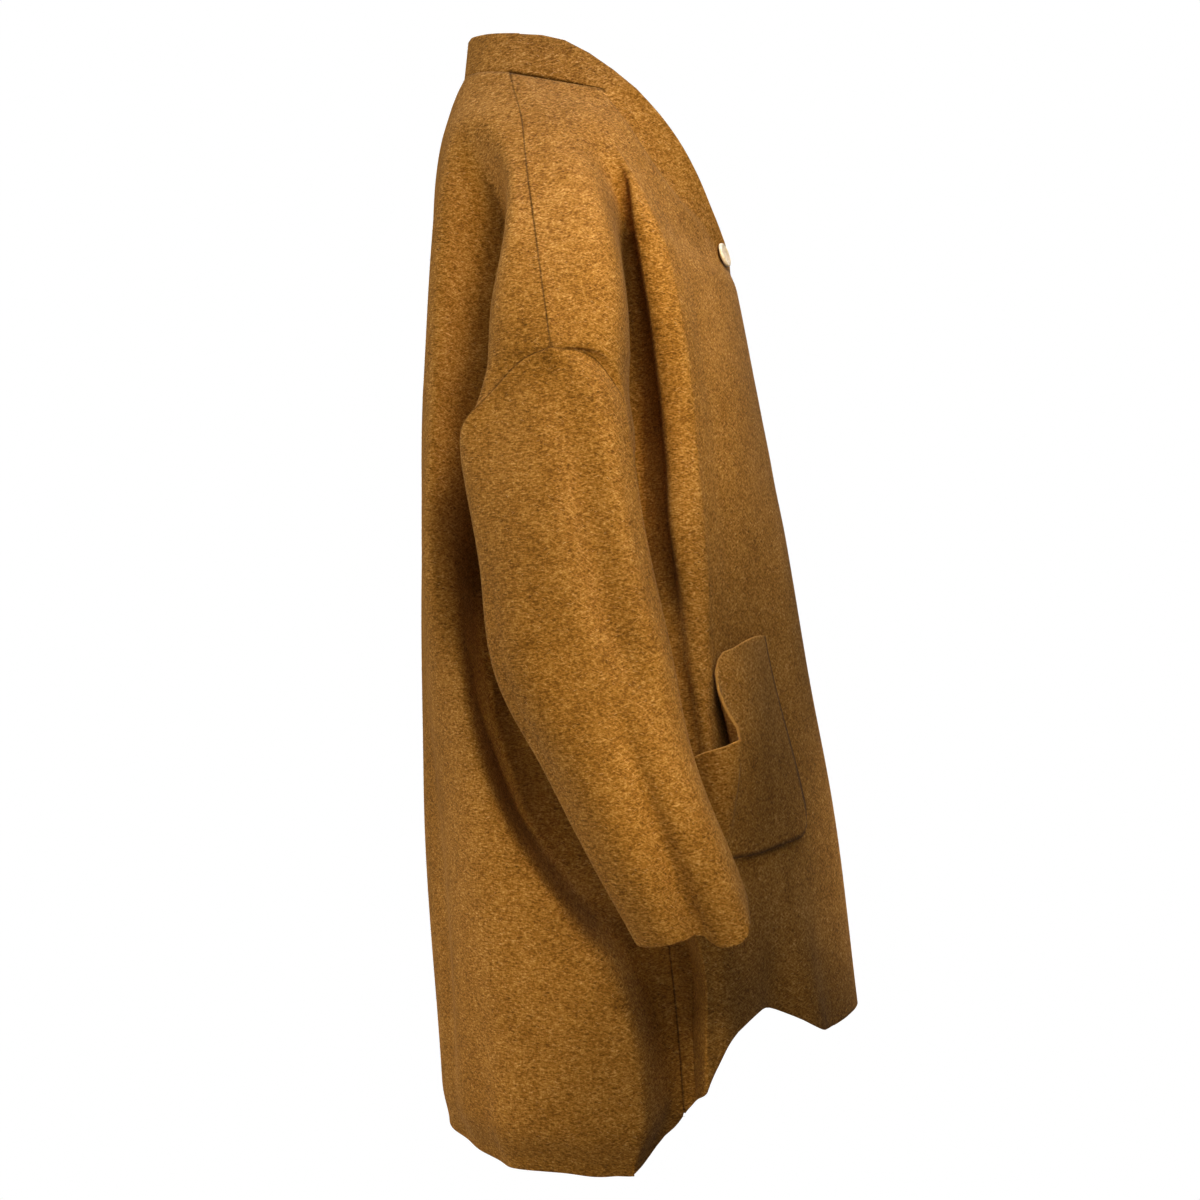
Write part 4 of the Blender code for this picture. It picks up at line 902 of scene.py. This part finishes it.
def woolGroup():
    tree, given, result = newGroup(
        "heathered_wool", "ShaderNodeTree",
        (("Spot", "Vector"), ("Seam", "Float"), ("Rim", "Float")), (("Colour", "Color"), ("Height", "Float")),
    )
    spot = given.outputs["Spot"]
    stretch = (woolLook["streakAcross"], woolLook["streakAcross"], woolLook["streakDown"])
    streaks = []
    for place, turn in enumerate(woolLook["streakTurns"]):
        turned = addNode(tree, "ShaderNodeMapping", Vector=spot,
                         Location=[place * apart for apart in woolLook["streakApart"]],
                         Rotation=(math.radians(turn), math.radians(turn), 0.0))
        stretched = addNode(tree, "ShaderNodeVectorMath", {"operation": "MULTIPLY"}, i0=turned.outputs[0],
                            i1=stretch)
        streaks.append(noiseAt(tree, stretched.outputs[0], 1.0, 2.0, 0.55))
    streak = addNode(tree, "ShaderNodeMath", {"operation": "MAXIMUM"}, i0=streaks[0], i1=streaks[1])
    noises = (
        noiseAt(tree, spot, woolLook["blob"], 3.0, 0.62), streak.outputs[0],
        noiseAt(tree, spot, woolLook["patch"], 2.0, 0.6), noiseAt(tree, spot, woolLook["drift"], 2.0, 0.5),
    )
    sums = [0.0]
    for noise, share in zip(noises, woolLook["shares"]):
        added = addNode(tree, "ShaderNodeMath", {"operation": "MULTIPLY_ADD"}, i0=noise, i1=share, i2=sums[-1])
        sums.append(added.outputs[0])
    colour = colourRamp(tree, sums[-1], [(place, woolLook[tone]) for tone, place in woolLook["stops"].items()])
    # painted shade: the colour is darkened along the seams
    colour = mixColours(tree, "MULTIPLY", given.outputs["Seam"], colour, woolLook["seamShadeTint"])
    # painted highlight: free edges are mixed toward the light tone
    colour = mixColours(tree, "MIX", given.outputs["Rim"], colour, woolLook["light"])
    tree.links.new(colour, result.inputs["Colour"])
    tree.links.new(sums[2], result.inputs["Height"])  # blobs and streaks
    return tree


def newMaterial(name, finish):
    made = bpy.data.materials.new(name)
    made.use_nodes = True
    shader = made.node_tree.nodes["Principled BSDF"]
    for label, value in finish.items():
        shader.inputs[label].default_value = value
    return made, made.node_tree, shader


def woolMaterial(group):
    made, tree, shader = newMaterial("wool", woolLook["finish"])
    spot = addNode(tree, "ShaderNodeTexCoord")
    seam = addNode(tree, "ShaderNodeAttribute", {"attribute_name": "seamShade"})
    rim = addNode(tree, "ShaderNodeAttribute", {"attribute_name": "rimLight"})
    wool = addNode(tree, "ShaderNodeGroup", {"node_tree": group}, Spot=spot.outputs["Object"],
                   Seam=seam.outputs["Fac"], Rim=rim.outputs["Fac"])
    bump = addNode(tree, "ShaderNodeBump", Strength=woolLook["bump"], Distance=woolLook["bumpDepth"],
                   Height=wool.outputs["Height"])
    tree.links.new(wool.outputs["Colour"], shader.inputs["Base Color"])
    tree.links.new(bump.outputs[0], shader.inputs["Normal"])
    return made


napLook = {
    "long": 0.0046, "wide": 0.00026, "lift": 0.00020, "turn": 48.0, "tilt": 4.0, "perArea": 42000.0, "most": 24000,
    "widths": (0.45, 1.0, 0.9, 0.35), "bow": 0.05, "lean": 0.03, "rise": 0.0003, "sizes": (0.45, 1.25),
    "firstSeed": 3, "sizeSeed": 7,
    "finish": {"Roughness": 0.9, "Specular IOR Level": 0.15}, "grain": {"Scale": 420.0, "Detail": 1.0},
    "stops": ((0.30, woolLook["low"]), (0.50, woolLook["light"]), (0.72, (0.62, 0.40, 0.16))),
}


def fleckedMaterial(name, look):
    made, tree, shader = newMaterial(name, look["finish"])
    spot = addNode(tree, "ShaderNodeTexCoord")
    noise = addNode(tree, "ShaderNodeTexNoise", Vector=spot.outputs["Object"], **look["grain"])
    tree.links.new(colourRamp(tree, noise.outputs[0], look["stops"]), shader.inputs["Base Color"])
    return made


def fibreMesh(name):  # a flat tapering ribbon, a little bowed
    along = np.linspace(-0.5, 0.5, 4)
    half = 0.5 * napLook["wide"] * np.array(napLook["widths"])
    points = []
    for place, wide in zip(along, half):
        bow = napLook["bow"] * math.sin(math.pi * (place + 0.5)) - napLook["lean"] * place
        rise = napLook["rise"] * (0.25 - place * place)
        for side in (-1.0, 1.0):
            points.append((place * napLook["long"], side * wide + bow * napLook["long"], rise))
    faces = [(2 * step, 2 * step + 2, 2 * step + 3, 2 * step + 1) for step in range(3)]
    return newMesh(name, points, faces)


def randomFloat(tree, least, most, seed):
    return addNode(tree, "FunctionNodeRandomValue", {"data_type": "FLOAT"}, i2=least, i3=most, Seed=seed).outputs[1]


def napTree(fibre, material):
    tree, given, result = newGroup(
        "nap_fibres", "GeometryNodeTree",
        (
            ("Cloth", "Geometry"), ("Per square metre", "Float", napLook["perArea"]), ("Seed", "Int", 1),
            ("Lift", "Float", napLook["lift"]), ("Turn", "Float", math.radians(napLook["turn"])),
            ("Tilt", "Float", math.radians(napLook["tilt"])),
        ),
        (("Nap", "Geometry"),),
    )
    outside = addNode(tree, "GeometryNodeInputNamedAttribute", {"data_type": "BOOLEAN"}, Name="outside")
    spots = addNode(tree, "GeometryNodeDistributePointsOnFaces", Mesh=given.outputs["Cloth"],
                    Selection=outside.outputs["Attribute"], Density=given.outputs["Per square metre"],
                    Seed=given.outputs["Seed"])
    upright = addNode(tree, "FunctionNodeAlignRotationToVector", {"axis": "Z", "pivot_axis": "AUTO"},
                      Vector=spots.outputs["Normal"])
    level = addNode(tree, "FunctionNodeAlignRotationToVector", {"axis": "Y", "pivot_axis": "Z"},
                    Rotation=upright.outputs[0], Vector=(0.0, 0.0, 1.0))
    spins = []
    for place, label in enumerate(("Tilt", "Tilt", "Turn")):
        least = addNode(tree, "ShaderNodeMath", {"operation": "MULTIPLY"}, i0=given.outputs[label], i1=-1.0)
        spins.append(randomFloat(tree, least.outputs[0], given.outputs[label], place))
    turn = addNode(tree, "ShaderNodeCombineXYZ", X=spins[0], Y=spins[1], Z=spins[2])
    spun = addNode(tree, "FunctionNodeEulerToRotation", Euler=turn.outputs[0])
    turned = addNode(tree, "FunctionNodeRotateRotation", {"rotation_space": "LOCAL"}, Rotation=level.outputs[0],
                     Rotate_By=spun.outputs[0])
    raised = addNode(tree, "ShaderNodeVectorMath", {"operation": "SCALE"}, i0=spots.outputs["Normal"],
                     Scale=given.outputs["Lift"])
    moved = addNode(tree, "GeometryNodeSetPosition", Geometry=spots.outputs["Points"], Offset=raised.outputs[0])
    size = randomFloat(tree, *napLook["sizes"], napLook["sizeSeed"])
    shape = addNode(tree, "GeometryNodeObjectInfo", Object=fibre)
    strewn = addNode(tree, "GeometryNodeInstanceOnPoints", Points=moved.outputs[0],
                     Instance=shape.outputs["Geometry"], Rotation=turned.outputs[0], Scale=size)
    plain = addNode(tree, "GeometryNodeRealizeInstances", Geometry=strewn.outputs[0])
    shaded = addNode(tree, "GeometryNodeSetMaterial", Geometry=plain.outputs[0], Material=material)
    tree.links.new(shaded.outputs[0], result.inputs["Nap"])
    return tree


def growNap(cloth, tree, area, seed):
    name = "nap_" + cloth.name
    holder = newObject(name + "_source", cloth.data)
    modifier = holder.modifiers.new("nap", "NODES")
    modifier.node_group = tree
    settings = {"Per square metre": min(napLook["perArea"], napLook["most"] / area), "Seed": seed}
    for item in tree.interface.items_tree:
        if item.in_out == "INPUT" and item.name in settings:
            modifier[item.identifier] = settings[item.name]
    bpy.context.view_layer.update()
    graph = bpy.context.evaluated_depsgraph_get()
    mesh = bpy.data.meshes.new_from_object(holder.evaluated_get(graph), depsgraph=graph)
    holder.modifiers.remove(modifier)
    bpy.data.objects.remove(holder)
    mesh.name = name
    return newObject(name, mesh)


print("shaping the cloth")
body = {
    "back": backCloth(),
    "front_right": frontCloth(right), "front_left": frontCloth(left),
    "sleeve_right": sleeveCloth(right), "sleeve_left": sleeveCloth(left),
}
meeting = shareSeams(body)
squares, mitres = seamNormals(body, meeting)
for name, piece in body.items():
    settle(piece, squares[name], clothWall["seamRoll"])
squares, mitres = seamNormals(body, meeting)
pockets = {
    "pocket_right": pocketCloth(body["front_right"], right), "pocket_left": pocketCloth(body["front_left"], left),
}
for piece in pockets.values():
    settle(piece, piece.normals(), clothWall["pocketRoll"])

print("sewing the pieces")
wool = woolMaterial(woolGroup())
shown = {}
for name, piece in (body | pockets).items():
    if name in body:
        made = closedWall(name + "_cloth", piece, squares[name], mitres[name])
    else:
        even = np.ones(len(piece.points))
        made = closedWall(name + "_cloth", piece, piece.normals(), even, rim=clothWall["pocketRimHighlight"], sewnRound=1.0)
    made.data.materials.append(wool)
    shown[name] = made
    print(f"{name}: {piece.area():.4f} m2, {len(made.data.polygons)} faces")

print("raising the nap")
fibre = bpy.data.objects.new("fibre_shape", fibreMesh("fibre_shape"))
fibres = napTree(fibre, fleckedMaterial("wool_nap", napLook))
naps = {}
for seed, (name, piece) in enumerate((body | pockets).items(), napLook["firstSeed"]):
    naps[name] = growNap(shown[name], fibres, piece.area(), seed)
    print(f"{naps[name].name}: {len(naps[name].data.polygons)} faces")
bpy.data.objects.remove(fibre)

for name, made in shown.items():
    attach(made, "root")
    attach(naps[name], "root")
    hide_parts(name)

buttonShape = {
    "level": 0.1505, "u": 0.150, "radius": 0.0112, "standoff": 0.0003, "sides": 72,
    "levelStep": 0.008, "uStep": 0.02,  # reach of the cloth that gives its direction
    "profile": columns(
        "share height",
        (0.0, 0.0042), (0.30, 0.0041), (0.52, 0.0042), (0.66, 0.0046), (0.76, 0.0051),
        (0.86, 0.0053), (0.94, 0.0050), (0.985, 0.0043), (1.0, 0.0034), (0.985, 0.0026),
        (0.93, 0.0020), (0.80, 0.0016), (0.55, 0.0015), (0.36, 0.0012),
    ),
    "shank": 0.32, "shankTop": 0.0008, "shankMargin": 0.002, "under": 0.0015, "clothReach": 0.02,
}


def turnedButton(front):
    level, u, radius = buttonShape["level"], buttonShape["u"], buttonShape["radius"]
    shank, sides = buttonShape["shank"], buttonShape["sides"]
    spots = level + buttonShape["levelStep"] * np.array([0.0, 0.0, -1.0, 1.0])
    near = plainFront(spots, u + buttonShape["uStep"] * np.array([-1.0, 1.0, 0.0, 0.0]))
    square = unit(np.cross(near[3] - near[2], near[1] - near[0])) * flip
    base = near[:2].mean(axis=0) * flip
    first = unit(np.cross(square, (0.0, 0.0, 1.0)))
    second = np.cross(square, first)
    offset = front.points - base
    over = offset @ square
    out = np.linalg.norm(offset - np.outer(over, square), axis=1)
    seat = over[out < shank * radius + buttonShape["shankMargin"]].max() + buttonShape["standoff"]
    clear = over[(out < radius) & (np.abs(over) < buttonShape["clothReach"])].max() + buttonShape["standoff"]
    lift = max(seat, clear - buttonShape["under"])
    angles = 2.0 * np.pi * np.arange(sides) / sides
    spokes = np.outer(np.cos(angles), first) + np.outer(np.sin(angles), second)
    heights = [(share, lift + height) for share, height in zip(*buttonShape["profile"].values())]
    heights += [(shank, lift + buttonShape["shankTop"]), (shank, seat), (0.0, seat)]
    points, rings = [], []
    for share, height in heights:
        count = 1 if share == 0.0 else sides
        rings.append([len(points) + (side if count > 1 else 0) for side in range(sides)])
        points += list(base + square * height + spokes[:count] * share * radius)
    faces = []
    for upper, lower in zip(rings, rings[1:]):
        for side in range(sides):
            after = (side + 1) % sides
            ring = (upper[side], lower[side], lower[after], upper[after])
            faces.append(withoutTwins(ring))
    return newObject("button_turned", newMesh("button_turned", [tuple(point) for point in points], faces, True))


creamLook = {
    "finish": {"Roughness": 0.36}, "grain": {"Scale": 260.0, "Detail": 4.0, "Distortion": 0.8},
    "stops": ((0.30, (0.56, 0.41, 0.20)), (0.52, (0.76, 0.60, 0.34)), (0.75, (0.86, 0.72, 0.47))),
}

print("turning the button")
button = turnedButton(body["front_right"])
button.data.materials.append(fleckedMaterial("button_cream", creamLook))
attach(button, "root")
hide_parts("button")

print("setting the stage")
stageLook = {
    "floor": -0.985, "floorSize": 30.0, "ambient": 0.0, "ambientColour": (1.0, 0.97, 0.93, 1.0), "contrast": 0.8,
    "floorFinish": {"Base Color": (0.62, 0.61, 0.60, 1.0), "Roughness": 0.9},
    "camera": (-1.85, -0.0642, -0.462), "lens": 60.54,
    "lamps": {  # place, aim, size, power and how far the beam opens
        "side": ((0.39, 2.16, 0.37), (0.0, -0.06, -0.40), 0.8, 37.0, 180.0),
        "over": ((-0.31, -0.33, 1.01), (0.0, -0.06, -0.40), 0.5, 9.8, 180.0),
        "near": ((-1.27, -0.16, 0.26), (0.0, -0.06, -0.40), 0.5, 7.4, 180.0),
        "behind": ((-1.38, 1.91, -0.45), (0.0, -0.06, -0.40), 0.8, 6.5, 180.0),
        "far": ((2.10, -0.50, 0.90), (0.0, -0.06, -0.40), 1.8, 22.0, 180.0),
        "chestHigh": ((-1.22, -0.45, 0.45), (-0.13, -0.16, -0.20), 0.4, 0.64, 30.0),
        "chestLow": ((-1.57, -0.83, -0.06), (-0.13, -0.16, -0.20), 0.4, 0.16, 22.0),
        "armSide": ((-1.09, -1.37, -0.39), (-0.35, -0.08, -0.60), 0.25, 0.13, 13.0),
        "armFace": ((-1.65, -0.83, -0.43), (-0.36, -0.09, -0.64), 0.25, 0.058, 11.0),
        "armTop": ((-1.28, -1.17, -0.09), (-0.34, -0.05, -0.40), 0.25, 0.072, 13.0),
        "bulgeHigh": ((-1.21, 0.37, 0.10), (-0.20, 0.0, -0.80), 0.4, 0.126, 24.0),
        "bulgeSide": ((-1.26, 0.89, -0.56), (-0.20, 0.0, -0.80), 0.4, 0.118, 24.0),
        "frontLow": ((0.15, -2.00, -0.68), (0.08, -0.28, -0.70), 0.1, 0.19, 14.0),
    },
    "tints": {"over": (0.88, 1.05, 2.1)},
}


def whiteToCamera(tree, other, output):  # plain white where the camera looks straight at it
    path = addNode(tree, "ShaderNodeLightPath")
    ofMaterial = output.bl_idname == "ShaderNodeOutputMaterial"
    white = addNode(tree, "ShaderNodeEmission" if ofMaterial else "ShaderNodeBackground", i0=(1.0, 1.0, 1.0, 1.0),
                    Strength=1.0)
    mix = addNode(tree, "ShaderNodeMixShader", i0=path.outputs["Is Camera Ray"], i1=other, i2=white.outputs[0])
    tree.links.new(mix.outputs[0], output.inputs["Surface"])


scene = bpy.context.scene
world = bpy.data.worlds.new("studio")
world.use_nodes = True
scene.world = world
around = world.node_tree.nodes["Background"]
around.inputs["Color"].default_value = stageLook["ambientColour"]
around.inputs["Strength"].default_value = stageLook["ambient"]
whiteToCamera(world.node_tree, around.outputs[0], world.node_tree.nodes["World Output"])

half = 0.5 * stageLook["floorSize"]
floorCorners = [(x * half, y * half, stageLook["floor"]) for x, y in ((-1, -1), (1, -1), (1, 1), (-1, 1))]
floor = newObject("floor", newMesh("floor", floorCorners, [(0, 1, 2, 3)]))
pale, paleTree, paleShader = newMaterial("pale_floor", stageLook["floorFinish"])
whiteToCamera(paleTree, paleShader.outputs[0], paleTree.nodes["Material Output"])
floor.data.materials.append(pale)

for name, (place, aim, size, power, opens) in stageLook["lamps"].items():
    data = bpy.data.lights.new(name, "AREA")
    data.shape = "DISK"
    data.size = size
    data.energy = power
    data.color = stageLook["tints"].get(name, (1.0, 1.0, 1.0))
    data.spread = math.radians(opens)
    lamp = newObject(name, data)
    lamp.location = place
    lamp.rotation_euler = (Vector(aim) - lamp.location).to_track_quat("-Z", "Y").to_euler()

cameraData = bpy.data.cameras.new("camera")
cameraData.lens = stageLook["lens"]
camera = newObject("camera", cameraData)
camera.location = stageLook["camera"]
camera.rotation_euler = (math.radians(90.0), 0.0, math.radians(-90.0))
scene.camera = camera
scene.view_settings.view_transform = "Standard"
scene.view_settings.gamma = stageLook["contrast"]
